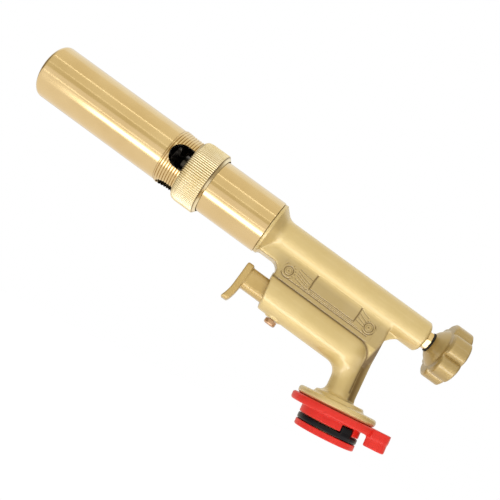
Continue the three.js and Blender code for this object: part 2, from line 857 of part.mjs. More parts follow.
// One unbroken round wire wound as a helix between the plunger and the end of the bore
function igniterSpring() {
  const start = plungerEnd + gap + springWire;
  const end = igniterBoreEnd - gap - springWire;
  class Helix extends THREE.Curve {
    getPoint(t) {
      const turn = fullTurn * springTurns * t;
      return new THREE.Vector3(
        start + (end - start) * t, springRadius * Math.cos(turn), springRadius * Math.sin(turn));
    }
  }
  const pitch = (end - start) / springTurns;
  console.log('igniter spring, least gap between turns in mm:', (pitch - 2 * springWire).toFixed(2));
  return shifted(wire(new Helix(), springWire, springSides, springTurns * wireSides), -housingDrop);
}

function igniterScrew() {
  const seat = housingRadius + screwBossRise + gap;
  const shankTop = igniterNeckRadius + gap;
  return turned([
    [shankTop, 0], [shankTop, igniterScrewShank], [seat, igniterScrewShank], [seat, igniterScrewHead],
    [seat + igniterScrewHeadLength * 3 / 4, igniterScrewHead],
    [seat + igniterScrewHeadLength, igniterScrewHead * 3 / 4], [seat + igniterScrewHeadLength, 0],
  ], smallSides).rotateY(quarterTurn).translate(screwStation, 0, -housingDrop);
}

function valveSeat() {
  const end = seatRingStart + seatRingLength;
  const ring = tube(seatRingStart, end, chamberRadius - gap, seatOrifice, smallSides);
  return shifted(ring, valveRise);
}

function valveNeedle() {
  const grooveEnd = needleGrooveStart + needleRingWire + 2 * gap;
  return shifted(turned([
    [needleTip, 0], [needleTip, needleRadius / 8], [needleTip + needleConeLength, needleRadius],
    [needleGrooveStart, needleRadius], [needleGrooveStart, needleGroove],
    [grooveEnd, needleGroove], [grooveEnd, needleRadius], [needleEnd, needleRadius], [needleEnd, 0],
  ], smallSides), valveRise);
}

function needleRing() {
  const start = needleGrooveStart + gap;
  const ring = tube(start, start + needleRingWire, chamberRadius - gap, needleGroove + gap, smallSides);
  return shifted(ring, valveRise);
}

function valveSpindle() {
  const start = needleEnd + gap;
  const screwFloor = spindleEnd - knobScrewShankLength - gap;
  return shifted(turned([
    [start, 0], [start, spindleCollarRadius], [start + spindleCollarLength, spindleCollarRadius],
    [start + spindleCollarLength, spindleRadius], [spindleEnd, spindleRadius],
    [spindleEnd, knobScrewShank + gap], [screwFloor, knobScrewShank + gap], [screwFloor, 0],
  ], smallSides), valveRise);
}

function glandNut() {
  const headStart = handleEnd + gap;
  const shank = tube(glandShankStart, headStart + gap, glandShankRadius, glandBore, smallSides);
  const cornerRadius = glandAcrossFlats / Math.sqrt(3);
  const head = tube(headStart, headStart + glandHeadLength, cornerRadius, glandBore - gap / 2, hexSides);
  const bore = rod(glandShankStart - overrun, headStart + glandHeadLength + overrun, glandBore, smallSides);
  return shifted(cut(join(shank, head), bore), valveRise);
}

function spindleWasher() {
  const ring = tube(washerStart, washerStart + spindleWasherLength, spindleWasherRadius, glandBore);
  return shifted(ring, valveRise);
}

// Six broad lobes with shallow grooves between them, on a flared hub
function controlKnob() {
  const steps = 8;
  const outline = Array.from({ length: knobLobes * steps }, (_, i) => {
    const across = 1 - Math.abs((i % steps) / steps - 1 / 2) * 2;
    const radius = knobRadius - knobGroove * across ** 2;
    const turn = knobTurn + fullTurn * i / (knobLobes * steps);
    return new THREE.Vector2(radius * Math.cos(turn), radius * Math.sin(turn));
  });
  const length = knobRear - knobFront;
  const lobes = new THREE.ExtrudeGeometry(new THREE.Shape(outline), { depth: length, bevelEnabled: false })
    .rotateY(quarterTurn).translate(knobFront, 0, 0);
  const profile = turned([
    [knobFront, 0], [knobFront, knobHubRadius],
    [knobFront + knobHubLength / 4, (knobHubRadius + knobShoulder) / 2],
    [knobFront + knobHubLength * 3 / 4, knobShoulder],
    [lobesStart, knobRadius - knobGroove / 4],
    [lobesStart + knobHubLength / 4, knobRadius],
    [lobesEnd, knobRadius],
    [lobesEnd + (knobRear - lobesEnd) * 3 / 4, knobRadius - knobGroove / 2],
    [knobRear, knobShoulder],
    [knobRear, 0],
  ], midSides);
  const bore = rod(knobFront - overrun, knobRear, knobBore, smallSides);
  const recess = rod(knobRear - knobRecessDepth, knobRear + overrun, knobRecessRadius, smallSides);
  return shifted(cut(common(lobes, profile), bore, recess), valveRise);
}

function knobScrew() {
  const seat = knobRear - knobRecessDepth + gap;
  return shifted(turned([
    [seat - gap - knobScrewShankLength, 0], [seat - gap - knobScrewShankLength, knobScrewShank],
    [seat, knobScrewShank], [seat, knobScrewHead],
    [seat + knobScrewHeadLength * 3 / 4, knobScrewHead],
    [seat + knobScrewHeadLength, knobScrewHead * 3 / 4], [seat + knobScrewHeadLength, 0],
  ], smallSides), valveRise);
}

// Disc under the connector, held by three screws, with the seat for the cartridge
function baseDisc() {
  const disc = tubeUp(0, baseDiscThick, baseDiscRadius, socketRadius, fineSides);
  const shank = rodUp(-overrun, baseDiscThick + overrun, connectorScrewShank + gap, wireSides);
  const head = rodUp(-overrun, connectorScrewHeadLength + gap, connectorScrewHead + gap, smallSides);
  const holes = [];
  for (let i = 0; i < connectorScrewCount; i += 1) {
    const turn = connectorScrewTurn + fullTurn * i / connectorScrewCount;
    for (const tool of [shank, head]) holes.push(tool.clone().translate(screwCircle, 0, 0).rotateZ(turn));
  }
  return cut(disc, ...holes);
}

function connectorScrew(index) {
  const seat = connectorScrewHeadLength;
  const low = gap / 2;
  return turnedUp([
    [low, 0], [low, connectorScrewHead], [seat, connectorScrewHead], [seat, connectorScrewShank],
    [baseTop + connectorScrewLength, connectorScrewShank], [baseTop + connectorScrewLength, 0],
  ], smallSides).translate(screwCircle, 0, 0)
    .rotateZ(connectorScrewTurn + fullTurn * index / connectorScrewCount);
}

// Black ring whose tooth stands in the notch of the red skirt
function bayonetRing() {
  const top = bayonetBottom + bayonetThick;
  const ring = tubeUp(bayonetBottom, top, baseDiscRadius, ringBore, fineSides);
  const shell = tubeUp(top - bayonetThick / 2, top + toothHeight, baseDiscRadius, ringBore, fineSides);
  const half = toothWidth / 2;
  const wedge = block([ringBore / 2, -half, 0], [baseDiscRadius + overrun, half, lockFlangeTop])
    .rotateZ(toothTurn);
  return join(ring, common(shell, wedge));
}

// Red ring with its lever: the thumb lip hangs from a tab that grows out of the flange
function lockRing() {
  const flange = turnedUp([
    [skirtBottom, ringBore], [skirtBottom, baseDiscRadius], [lockFlangeBottom, baseDiscRadius],
    [lockFlangeBottom, lockFlangeRadius - flangePlateRound],
    [lockFlangeBottom + flangePlateRound, lockFlangeRadius],
    [lockFlangeTop - flangePlateRound, lockFlangeRadius],
    [lockFlangeTop, lockFlangeRadius - flangePlateRound],
    [lockFlangeTop, ringBore], [skirtBottom, ringBore],
  ], fineSides);
  const half = leverWidth / 2;
  const lip = (start, bottom) => {
    const outline = new THREE.Shape([
      [start, -half], [leverReach - leverCorner, -half], [leverReach, -half + leverCorner],
      [leverReach, half - leverCorner], [leverReach - leverCorner, half], [start, half],
    ].map(([x, y]) => new THREE.Vector2(x, y)));
    return new THREE.ExtrudeGeometry(outline, { depth: lockFlangeTop - bottom, bevelEnabled: false })
      .translate(0, 0, bottom).rotateZ(leverTurn);
  };
  const notchHalf = toothWidth / 2 + gap;
  const notch = block(
    [ringBore / 2, -notchHalf, skirtBottom - overrun],
    [baseDiscRadius + overrun / 4, notchHalf, bayonetBottom + bayonetThick + toothHeight + gap],
  ).rotateZ(toothTurn);
  const tab = lip(baseDiscRadius, lockFlangeBottom);
  const thumb = lip(leverLipStart, lockFlangeTop - leverLipHeight);
  return cut(join(flange, tab, thumb), notch);
}

function inletStem() {
  const flangeTop = socketDepth - gap;
  const flangeBottom = flangeTop - inletFlangeThick;
  return turnedUp([
    [inletPinEnd, inletBore], [inletPinEnd, inletPinRadius], [flangeBottom, inletPinRadius],
    [flangeBottom, inletFlangeRadius], [flangeTop, inletFlangeRadius],
    [flangeTop, inletRadius], [inletTop, inletRadius], [inletTop, inletBore], [inletPinEnd, inletBore],
  ], midSides);
}

function inletSeal() {
  const top = socketDepth - gap - inletFlangeThick - gap;
  const inner = inletPinRadius + gap;
  return tubeUp(top - sealThick, top, inner + sealWidth, inner, midSides);
}

function inletFilter() {
  return rodUp(inletTop + gap, inletTop + gap + filterThick, inletRadius, smallSides);
}

add(barrel, 'cast_body', 'castGold', castBody());
add(barrel, 'barrel_sleeve', 'tubeBrass', barrelSleeve());
add(barrel, 'flame_tube', 'tubeBrass', flameTube());
add(barrel, 'air_ring', 'tubeBrass', airRing());
add(barrel, 'air_ring_rim', 'tubeBrass', airRingRim());
add(barrel, 'burner_head', 'plainBrass', burnerHead());
add(barrel, 'mixing_tube', 'burntSteel', mixingTube());
add(barrel, 'jet_pipe', 'plainBrass', jetPipe());
add(barrel, 'pipe_washer', 'copper', pipeWasher());
add(barrel, 'gas_jet', 'plainBrass', gasJet());
add(barrel, 'electrode_insulator', 'ceramic', electrodeInsulator());
add(barrel, 'spark_electrode', 'steel', sparkElectrode());
add(barrel, 'ignition_lead', 'blackRubber', ignitionLead());
add(barrel, 'trigger', 'castGold', triggerShape());
add(barrel, 'igniter_plunger', 'steel', igniterPlunger());
add(barrel, 'igniter_case', 'blackPlastic', igniterCase());
add(barrel, 'igniter_spring', 'steel', igniterSpring());
add(barrel, 'igniter_screw', 'copper', igniterScrew());
add(barrel, 'valve_seat', 'plainBrass', valveSeat());
add(barrel, 'valve_needle', 'steel', valveNeedle());
add(barrel, 'needle_o_ring', 'blackRubber', needleRing());
add(barrel, 'valve_spindle', 'steel', valveSpindle());
add(barrel, 'gland_nut', 'plainBrass', glandNut());
add(barrel, 'spindle_washer', 'blackRubber', spindleWasher());
add(barrel, 'control_knob', 'knobGold', controlKnob());
add(barrel, 'knob_screw', 'steel', knobScrew());
add(torch, 'lock_ring', 'redPlastic', lockRing());
add(torch, 'bayonet_ring', 'blackPlastic', bayonetRing());
add(torch, 'base_disc', 'redPlastic', baseDisc());
for (let i = 0; i < connectorScrewCount; i += 1) {
  add(torch, `connector_screw_${i + 1}`, 'steel', connectorScrew(i));
}
add(torch, 'inlet_stem', 'plainBrass', inletStem());
add(torch, 'inlet_seal', 'blackRubber', inletSeal());
add(torch, 'inlet_filter', 'steel', inletFilter());

export default torch;
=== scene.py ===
import json
import math

import bmesh
import bpy
import numpy as np
from mathutils import Matrix, Vector


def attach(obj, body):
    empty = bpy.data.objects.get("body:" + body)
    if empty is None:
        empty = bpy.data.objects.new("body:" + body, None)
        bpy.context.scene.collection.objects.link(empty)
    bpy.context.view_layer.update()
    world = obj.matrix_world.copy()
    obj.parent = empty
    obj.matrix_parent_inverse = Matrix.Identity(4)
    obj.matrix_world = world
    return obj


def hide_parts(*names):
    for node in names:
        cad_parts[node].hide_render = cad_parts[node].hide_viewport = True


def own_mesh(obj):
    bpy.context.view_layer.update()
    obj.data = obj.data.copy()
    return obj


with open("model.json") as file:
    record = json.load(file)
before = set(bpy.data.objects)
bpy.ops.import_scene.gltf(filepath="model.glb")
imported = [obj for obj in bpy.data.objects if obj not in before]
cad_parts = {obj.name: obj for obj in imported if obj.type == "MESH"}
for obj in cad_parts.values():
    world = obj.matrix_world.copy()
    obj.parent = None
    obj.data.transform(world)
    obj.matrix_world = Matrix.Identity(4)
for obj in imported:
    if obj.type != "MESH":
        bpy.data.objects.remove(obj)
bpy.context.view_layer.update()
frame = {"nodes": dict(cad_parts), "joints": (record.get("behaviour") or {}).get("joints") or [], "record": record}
mm = 0.001
fullTurn = 2 * math.pi
quarterTurn = math.pi / 2
print("frame loaded:", len(frame["nodes"]), "nodes")

# Barrel frame: x along the burner from the seam between sleeve and casting, z up from its axis
joints = {joint["name"]: joint for joint in frame["joints"]}
along = np.array(joints["trigger_push"]["axis"])
along = along / np.linalg.norm(along)
across = np.array([0.0, 1.0, 0.0])
above = np.cross(along, across)
clearance = 0.3  # running gap that the pieces keep to each other
bodyOf = {n: b for b, members in frame["record"]["behaviour"]["bodies"].items() for n in members}
slotOf = {s["node"]: s["material_slot"] for s in frame["record"]["subparts"]}


def nodePoints(name):
    mesh = frame["nodes"][name].data
    points = np.empty(len(mesh.vertices) * 3)
    mesh.vertices.foreach_get("co", points)
    return points.reshape(-1, 3)


ringPoint = np.array(joints["air_ring_turn"]["pos_m"])
knobPoint = np.array(joints["knob_turn"]["pos_m"])
seam = ringPoint + along * (((nodePoints("barrel_sleeve") - ringPoint) @ along).max() + clearance * mm)
valveRise = float((knobPoint - seam) @ above) / mm
tilt = math.atan2(-along[2], along[0])


# A point of the barrel frame in millimetres, as a place in metres
def barrelPlace(x, y, z):
    x, y, z = np.broadcast_arrays(x, y, z)
    return seam + mm * (x[..., None] * along + y[..., None] * across + z[..., None] * above)


# Heights above the cartridge seat in millimetres, as a place in metres
def seatPlace(x, y, z):
    return np.stack(np.broadcast_arrays(x, y, z), -1) * mm


def toBarrel(point):
    offset = (np.asarray(point, float) * mm - seam) / mm
    return float(offset @ along), float(offset @ above)


# First and last station of a node along the burner, in millimetres
def span(node):
    x = ((nodePoints(node) - seam) @ along) / mm
    return float(x.min()), float(x.max())


# Lowest and highest level of a node over the cartridge seat, in millimetres
def levels(node):
    z = nodePoints(node)[:, 2] / mm
    return float(z.min()), float(z.max())


# Camera at the photograph's place: near the torch, a little under it, rolled
view = dict(aim=(-57.89, 0.0, 54.03), distance=252.4, azimuth=0.974, elevation=-8.615, roll=26.1,
            lens=44.64, sensor=36.0, nearest=5)


def placeCamera():
    turn, rise, roll = (math.radians(view[k]) for k in ("azimuth", "elevation", "roll"))
    forward = Vector((-math.sin(turn) * math.cos(rise), math.cos(turn) * math.cos(rise), -math.sin(rise)))
    level = forward.cross(Vector((0, 0, 1))).normalized()
    upright = level.cross(forward)
    up = upright * math.cos(roll) - level * math.sin(roll)
    right = forward.cross(up)
    camera = bpy.data.objects.new("camera", bpy.data.cameras.new("camera"))
    bpy.context.scene.collection.objects.link(camera)
    camera.data.lens = view["lens"]
    camera.data.sensor_width = view["sensor"]
    camera.data.clip_start = view["nearest"] * mm
    turnMatrix = Matrix((right, up, -forward)).transposed().to_4x4()
    place = Vector(view["aim"]) * mm - forward * view["distance"] * mm
    camera.matrix_world = Matrix.Translation(place) @ turnMatrix
    bpy.context.scene.camera = camera


placeCamera()
print("camera placed")


# sRGB hex to linear colour
def hexColour(code, alpha=1.0):
    parts = [int(code[i:i + 2], 16) / 255 for i in (1, 3, 5)]
    return tuple(c / 12.92 if c <= 0.04045 else ((c + 0.055) / 1.055) ** 2.4 for c in parts) + (alpha,)


# Adds a node with its settings: an input given a socket, or a node for its first output, is linked to it,
# and any other is set
def addNode(tree, kind, inputs=None, **settings):
    made = tree.nodes.new(kind)
    for key, value in settings.items():
        setattr(made, key, value)
    for key, value in (inputs or {}).items():
        if isinstance(value, bpy.types.Node):
            value = value.outputs[0]
        if isinstance(value, bpy.types.NodeSocket):
            tree.links.new(value, made.inputs[key])
        else:
            made.inputs[key].default_value = value
    return made


def newMaterial(name):
    material = bpy.data.materials.new(name)
    material.use_nodes = True
    tree = material.node_tree
    tree.nodes.clear()
    return material, tree


# Gives a material its surface and returns it
def surfaced(material, inputs, kind="ShaderNodeBsdfPrincipled"):
    shader = addNode(material.node_tree, kind, inputs)
    addNode(material.node_tree, "ShaderNodeOutputMaterial", {"Surface": shader})
    return material


def perMetre(size):
    return 1 / (size * mm)  # pattern scale for a feature of that many millimetres


# Object coordinates turned into the barrel frame, so that x runs along the burner
def barrelCoordinates(tree, scale=(1, 1, 1)):
    where = addNode(tree, "ShaderNodeTexCoord").outputs["Object"]
    turned = addNode(tree, "ShaderNodeMapping", {"Vector": where, "Rotation": (0, -tilt, 0)})
    return addNode(tree, "ShaderNodeMapping", {"Vector": turned, "Scale": scale})


noiseMiddle = (0.3, 0.7)  # nearly all of a noise pattern's values lie between these


# Colour and roughness that drift together between two values each, over a patch size in millimetres
def mottled(tree, vector, dark, light, rough, patch):
    noise = addNode(tree, "ShaderNodeTexNoise",
                    {"Vector": vector, "Scale": perMetre(patch), "Detail": 3.0, "Roughness": 0.55})
    ramp = addNode(tree, "ShaderNodeValToRGB", {"Fac": noise})
    for stop, place, code in zip(ramp.color_ramp.elements, noiseMiddle, (dark, light)):
        stop.position = place
        stop.color = hexColour(code)
    shine = addNode(tree, "ShaderNodeMapRange", {
        "Value": noise, "From Min": noiseMiddle[0], "From Max": noiseMiddle[1],
        "To Min": rough[0], "To Max": rough[1]})
    return ramp, shine


# Raised grain or tool marks: size of a grain and its height in millimetres
def grained(tree, vector, size, height, strength, detail):
    noise = addNode(tree, "ShaderNodeTexNoise", {"Vector": vector, "Scale": perMetre(size), "Detail": detail})
    return addNode(tree, "ShaderNodeBump", {"Height": noise, "Strength": strength, "Distance": height * mm})


# Darkens a colour where the mesh carries tarnish and painted shade
def withTarnishAndShade(tree, colour, code):
    tarnishAndShade = addNode(tree, "ShaderNodeAttribute", attribute_name="tarnishAndShade")
    return addNode(tree, "ShaderNodeMix", {"Factor": tarnishAndShade.outputs["Fac"], "A": colour,
                                           "B": hexColour(code)},
                   data_type="RGBA").outputs["Result"]


# Distance of a shading point from the burner's axis, and its place along the burner, in metres
def burnerPlace(tree):
    where = addNode(tree, "ShaderNodeTexCoord").outputs["Object"]
    offset = addNode(tree, "ShaderNodeVectorMath", {0: where, 1: seam.tolist()}, operation="SUBTRACT")
    dots = [addNode(tree, "ShaderNodeVectorMath", {0: offset, 1: way.tolist()}, operation="DOT_PRODUCT")
            for way in (across, above, along)]
    aside, height, station = (dot.outputs["Value"] for dot in dots)
    flat = addNode(tree, "ShaderNodeCombineXYZ", {0: aside, 1: height})
    return addNode(tree, "ShaderNodeVectorMath", {0: flat}, operation="LENGTH").outputs["Value"], station


# Painted shade on the inside of the tube, nearly black: both pairs are where it starts and where it is full,
# in millimetres from the burner's axis and along it
boreShade = dict(tone="#1a140f", rough=0.5, radii=(11.5, 11.25), stations=(-109.5, -108.5))


# Polished brass tube: warm bright metal under a thin clear lacquer, with painted shade dark inside its bore
def lacqueredBrass():
    material, tree = newMaterial("lacquered_brass_tube")
    colour, shine = mottled(tree, barrelCoordinates(tree), "#dcc491", "#e4ce9e", (0.12, 0.16), 14)
    bore, behind = (
        addNode(tree, "ShaderNodeMapRange", {"Value": value, "From Min": start * mm, "From Max": full * mm})
        for value, (start, full) in zip(burnerPlace(tree), (boreShade["radii"], boreShade["stations"])))
    inside = addNode(tree, "ShaderNodeMath", {0: bore, 1: behind}, operation="MULTIPLY")
    # Nearly black painted shade inside the bore, over brass that carries tarnish and painted shade in its thread's
    # grooves
    boreShaded = addNode(tree, "ShaderNodeMix", {"Factor": inside, "A": withTarnishAndShade(tree, colour, "#8a6232"),
                                            "B": hexColour(boreShade["tone"])}, data_type="RGBA")
    dull = addNode(tree, "ShaderNodeMix", {"Factor": inside, "A": shine, "B": boreShade["rough"]},
                   data_type="FLOAT")
    return surfaced(material, {
        "Base Color": boreShaded.outputs["Result"], "Metallic": 1.0, "Roughness": dull.outputs["Result"],
        "Coat Weight": 0.8, "Coat Roughness": 0.05})


# Die-cast zinc sprayed with satin gold lacquer: soft highlights, paler where rubbed, with painted shade in its
# creases
def goldCasting(name, dark, light, worn, rough):
    material, tree = newMaterial(name)
    where = barrelCoordinates(tree)
    colour, shine = mottled(tree, where, dark, light, rough, 9)
    edge = addNode(tree, "ShaderNodeNewGeometry").outputs["Pointiness"]
    rub = addNode(tree, "ShaderNodeMapRange", {"Value": edge, "From Min": 0.53, "From Max": 0.62})
    rubbed = addNode(tree, "ShaderNodeMix", {"Factor": rub, "A": colour, "B": hexColour(worn)},
                     data_type="RGBA")
    # Dark brown where the casting carries its painted shade
    return surfaced(material, {
        "Base Color": withTarnishAndShade(tree, rubbed.outputs["Result"], "#7d6334"), "Metallic": 0.85,
        "Roughness": shine, "Normal": grained(tree, where, 0.9, 0.02, 0.12, 3.0),
        "Coat Weight": 1.0, "Coat Roughness": 0.12, "Coat IOR": 1.65})


# Free-machining brass, left bare: tool marks round the axis
def bareBrass(name, dark, light):
    material, tree = newMaterial(name)
    colour, shine = mottled(tree, barrelCoordinates(tree), dark, light, (0.2, 0.3), 4)
    marks = grained(tree, barrelCoordinates(tree, (1, 0.03, 0.03)), 0.3, 0.003, 0.1, 1.0)
    # Dark brown where the mesh carries tarnish and painted shade, such as the band of painted shade on the air
    # ring's rim
    return surfaced(material, {"Base Color": withTarnishAndShade(tree, colour, "#7c6238"), "Metallic": 1.0,
                               "Roughness": shine, "Normal": marks})


# Any other bare metal: mottled tone, light brushing
def metal(name, dark, light, rough):
    material, tree = newMaterial(name)
    colour, shine = mottled(tree, barrelCoordinates(tree), dark, light, rough, 3)
    marks = grained(tree, barrelCoordinates(tree, (0.05, 1, 1)), 0.3, 0.02, 0.2, 2.0)
    return surfaced(material, {"Base Color": colour, "Metallic": 1.0, "Roughness": shine, "Normal": marks})


# Moulded plastic, rubber or ceramic: one tone with slight drift and a moulding grain
def moulded(name, dark, light, rough, grainSize, grainHeight, ior):
    material, tree = newMaterial(name)
    where = addNode(tree, "ShaderNodeTexCoord").outputs["Object"]
    colour, shine = mottled(tree, where, dark, light, rough, 6)
    return surfaced(material, {"Base Color": colour, "Roughness": shine, "IOR": ior,
                               "Normal": grained(tree, where, grainSize, grainHeight, 0.3, 3.0)})


finishes = {
    "tube_brass": lacqueredBrass(),
    "cast_alloy": goldCasting("gold_lacquered_casting", "#e0cc91", "#e7d59f", "#ecdfb6", (0.58, 0.66)),
    # Knob and trigger: the same lacquer, sprayed darker over a rougher skin
    "knob_gold": goldCasting("bronze_gold_lacquered_knob", "#b59e65", "#c3ac74", "#d0ba8b", (0.5, 0.58)),
    "trigger_gold": goldCasting("gold_lacquered_trigger", "#cdb274", "#d6bd80", "#e0cc9a", (0.55, 0.62)),
    "plain_brass": bareBrass("machined_brass", "#e2c893", "#f0dcae"),
    # Air ring: a paler, brighter brass than the tubes
    "bright_brass": bareBrass("bright_turned_brass", "#f1e5bf", "#fbf3d8"),
    # Heat-blued and sooted steel: dark, with a dull metallic sheen
    "blackened_steel": metal("heat_blackened_steel", "#3a3a3b", "#5c5a58", (0.25, 0.4)),
    "spring_steel": metal("bright_steel", "#a8abb0", "#c8cacc", (0.2, 0.35)),
    # Steel with a thin plating of copper: a pale pink metal
    "copper": metal("copper_plated_steel", "#c9a183", "#dfc0a4", (0.22, 0.35)),
    # Steatite ceramic: white, slightly warm, unglazed
    "ceramic": moulded("steatite_ceramic", "#e2dccf", "#f0ebe0", (0.4, 0.5), 0.3, 0.01, 1.58),
    # Glass-filled nylon, moulded: a clear satin sheen
    "red_plastic": moulded("moulded_red_nylon", "#dc2013", "#e62e20", (0.32, 0.4), 0.6, 0.002, 1.45),
    "black_plastic": moulded("moulded_black_nylon", "#04060d", "#0a0e19", (0.16, 0.22), 0.6, 0.002, 1.36),
    # Nitrile rubber: matt and near black
    "black_rubber": moulded("nitrile_rubber", "#151518", "#222226", (0.6, 0.72), 0.4, 0.015, 1.52),
}
print("materials made:", len(finishes))


# Quads between neighbouring rows and columns of a grid of points
def gridQuads(rows, columns, closeRows, closeColumns):
    i = np.arange(rows if closeRows else rows - 1)[:, None]
    j = np.arange(columns if closeColumns else columns - 1)[None, :]
    nextRow, nextColumn = (i + 1) % rows, (j + 1) % columns
    corners = [i * columns + j, nextRow * columns + j, nextRow * columns + nextColumn,
               i * columns + nextColumn]
    return np.stack(np.broadcast_arrays(*corners), -1).reshape(-1, 4)


def meshFrom(name, points, quads):
    mesh = bpy.data.meshes.new(name)
    mesh.vertices.add(len(points))
    mesh.vertices.foreach_set("co", np.ascontiguousarray(points, np.float32).ravel())
    mesh.loops.add(quads.size)
    mesh.loops.foreach_set("vertex_index", quads.astype(np.int32).ravel())
    mesh.polygons.add(len(quads))
    mesh.polygons.foreach_set("loop_start", np.arange(0, quads.size, 4, dtype=np.int32))
    mesh.update(calc_edges=True)
    return mesh


# Closes poles and seams, points the faces out and shades smooth up to an angle
def clean(mesh, sharp, merge=True):
    work = bmesh.new()
    work.from_mesh(mesh)
    if merge:
        bmesh.ops.remove_doubles(work, verts=work.verts, dist=0.001 * mm)
        bmesh.ops.dissolve_degenerate(work, edges=work.edges, dist=0.0005 * mm)
    bmesh.ops.recalc_face_normals(work, faces=work.faces)
    work.to_mesh(mesh)
    work.free()
    mesh.shade_smooth()
    mesh.set_sharp_from_angle(angle=math.radians(sharp))


def joined(name, *grids):
    points, quads, count = [], [], 0
    for co, faces in grids:
        points.append(co.reshape(-1, 3))
        quads.append(faces + count)
        count += len(points[-1])
    return meshFrom(name, np.concatenate(points), np.concatenate(quads))


# A piece that stands for a CAD node: it rides on the node's body and takes its slot, and that slot's finish
# unless another look is given; its shape is a mesh, or a grid of points with its faces
def addPiece(name, node, shape, sharp=38, merge=True, look=None):
    mesh = joined(node, shape) if isinstance(shape, tuple) else shape
    clean(mesh, sharp, merge)
    piece = bpy.data.objects.new(name, mesh)
    bpy.context.scene.collection.objects.link(piece)
    mesh.materials.append(finishes[look or slotOf[node]])
    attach(piece, bodyOf[node])
    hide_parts(node)
    return piece


# Stores each point's tarnish and painted shade on a mesh
def tarnishedAndShaded(mesh, values):
    layer = mesh.attributes.new("tarnishAndShade", "FLOAT", "POINT")
    layer.data.foreach_set("value", np.ascontiguousarray(values, np.float32).ravel())
    return mesh


# A closed or open line of [x, r, fillet] corners: each corner becomes an arc tangent to both its sides,
# and a row is held close to each end of the arc, so that flat stretches stay flat in the light
def rounded(corners, closed=True, stepTurn=15.0, hold=0.12):
    points = np.array([c[:2] for c in corners], float)
    count = len(points)
    out = []
    for k, corner in enumerate(corners):
        here = points[k]
        if not closed and k in (0, count - 1):
            out.append(here[None])
            continue
        back, ahead = points[k - 1] - here, points[(k + 1) % count] - here
        backLength, aheadLength = np.linalg.norm(back), np.linalg.norm(ahead)
        back, ahead = back / backLength, ahead / aheadLength
        opening = math.acos(np.clip(back @ ahead, -1, 1))
        fillet = corner[2] if len(corner) > 2 else 0.15
        reach = min(fillet / math.tan(opening / 2), 0.47 * backLength, 0.47 * aheadLength)
        fillet = reach * math.tan(opening / 2)
        middle = back + ahead
        centre = here + middle / np.linalg.norm(middle) * fillet / math.sin(opening / 2)
        first, last = here + back * reach - centre, here + ahead * reach - centre
        start, end = math.atan2(first[1], first[0]), math.atan2(last[1], last[0])
        turn = (end - start + math.pi) % fullTurn - math.pi
        steps = max(2, int(abs(turn) / math.radians(stepTurn)) + 1)
        sweep = start + turn * np.linspace(0, 1, steps + 1)
        arc = centre + fillet * np.stack([np.cos(sweep), np.sin(sweep)], -1)
        margin = min(hold, 0.2 * (backLength - reach), 0.2 * (aheadLength - reach))
        out.append(np.vstack([here + back * (reach + margin), arc, here + ahead * (reach + margin)]))
    return np.vstack(out)


# Profile carried round the burner's axis, or one that lies higher: each point (x, r) goes to
# x, r sin t, rise + r cos t
def lathe(profile, sides=128, rise=0.0):
    turn = np.linspace(0, fullTurn, sides, endpoint=False)
    x, r = profile[:, :1], profile[:, 1:2]
    points = barrelPlace(x + 0 * turn, r * np.sin(turn), rise + r * np.cos(turn))
    return points, gridQuads(len(profile), sides, True, True)


# The same about the cartridge axis, with heights over the seat
def latheUp(profile, sides=128):
    turn = np.linspace(0, fullTurn, sides, endpoint=False)
    z, r = profile[:, :1], profile[:, 1:2]
    points = seatPlace(r * np.cos(turn), r * np.sin(turn), z + 0 * turn)
    return points, gridQuads(len(profile), sides, True, True)


# Section of a plain tube: fillet on its outer edges, and on its bore's edges unless another is given
def tubeProfile(start, end, outer, inner, fillet=0.15, boreFillet=None):
    inside = boreFillet or fillet
    return rounded([(start, inner, inside), (start, outer, fillet), (end, outer, fillet),
                    (end, inner, inside)])


beyond = 1.0  # how far a drill starts before the metal and runs on after it


# Two directions square to an axis and to each other
def squareTo(axis):
    side = np.cross(axis, across if abs(axis @ across) < 0.9 else along)
    side /= np.linalg.norm(side)
    return side, np.cross(axis, side)


# A solid bar between two points, to drill with: round, or drawn out along the burner into a slot
def drillBit(start, end, radius, sides=48, run=0.0):
    axis = (end - start) / np.linalg.norm(end - start)
    side, other = (along, np.cross(axis, along)) if run else squareTo(axis)
    turn = (np.arange(sides)[:, None] + 0.5) / sides * fullTurn
    circle = np.cos(turn) * side + np.sin(turn) * other
    rim = mm * (radius * circle + np.where(np.cos(turn) > 0, run, 0) * side)
    rows = np.stack([start + 0 * rim, start + rim, end + rim, end + 0 * rim])
    return rows, gridQuads(4, sides, False, True)


def blockBit(centre, half, axes):
    signs = np.array([(i, j, k) for i in (-1, 1) for j in (-1, 1) for k in (-1, 1)], float)
    points = centre + (signs * half * mm) @ np.stack(axes)
    quads = np.array([[0, 1, 3, 2], [4, 6, 7, 5], [0, 4, 5, 1], [2, 3, 7, 6], [0, 2, 6, 4], [1, 5, 7, 3]])
    return points, quads


# Cuts tools out of a mesh and returns the mesh that is left
def drilled(mesh, *bits):
    toolMesh = joined("drill", *bits)
    clean(mesh, 30)
    clean(toolMesh, 30)
    body = bpy.data.objects.new("body", mesh)
    tool = bpy.data.objects.new("tool", toolMesh)
    for thing in (body, tool):
        bpy.context.scene.collection.objects.link(thing)
    cut = body.modifiers.new("cut", "BOOLEAN")
    cut.operation = "DIFFERENCE"
    cut.solver = "EXACT"
    cut.object = tool
    bpy.context.view_layer.update()
    result = bpy.data.meshes.new_from_object(body.evaluated_get(bpy.context.evaluated_depsgraph_get()))
    for thing in (body, tool):
        bpy.data.objects.remove(thing)
    return result


# Tubes, ring and casting are screwed up tight: only a hair line is left between them
seamFill = 0.26

# Flame tube: thin wall, its nose rolled inwards
flameTube = dict(radius=11.95, wall=0.9, nose=2.0, rearEdge=0.08, lipRound=0.22, hold=0.15, bendRows=13,
                 lipRows=9, sides=192)


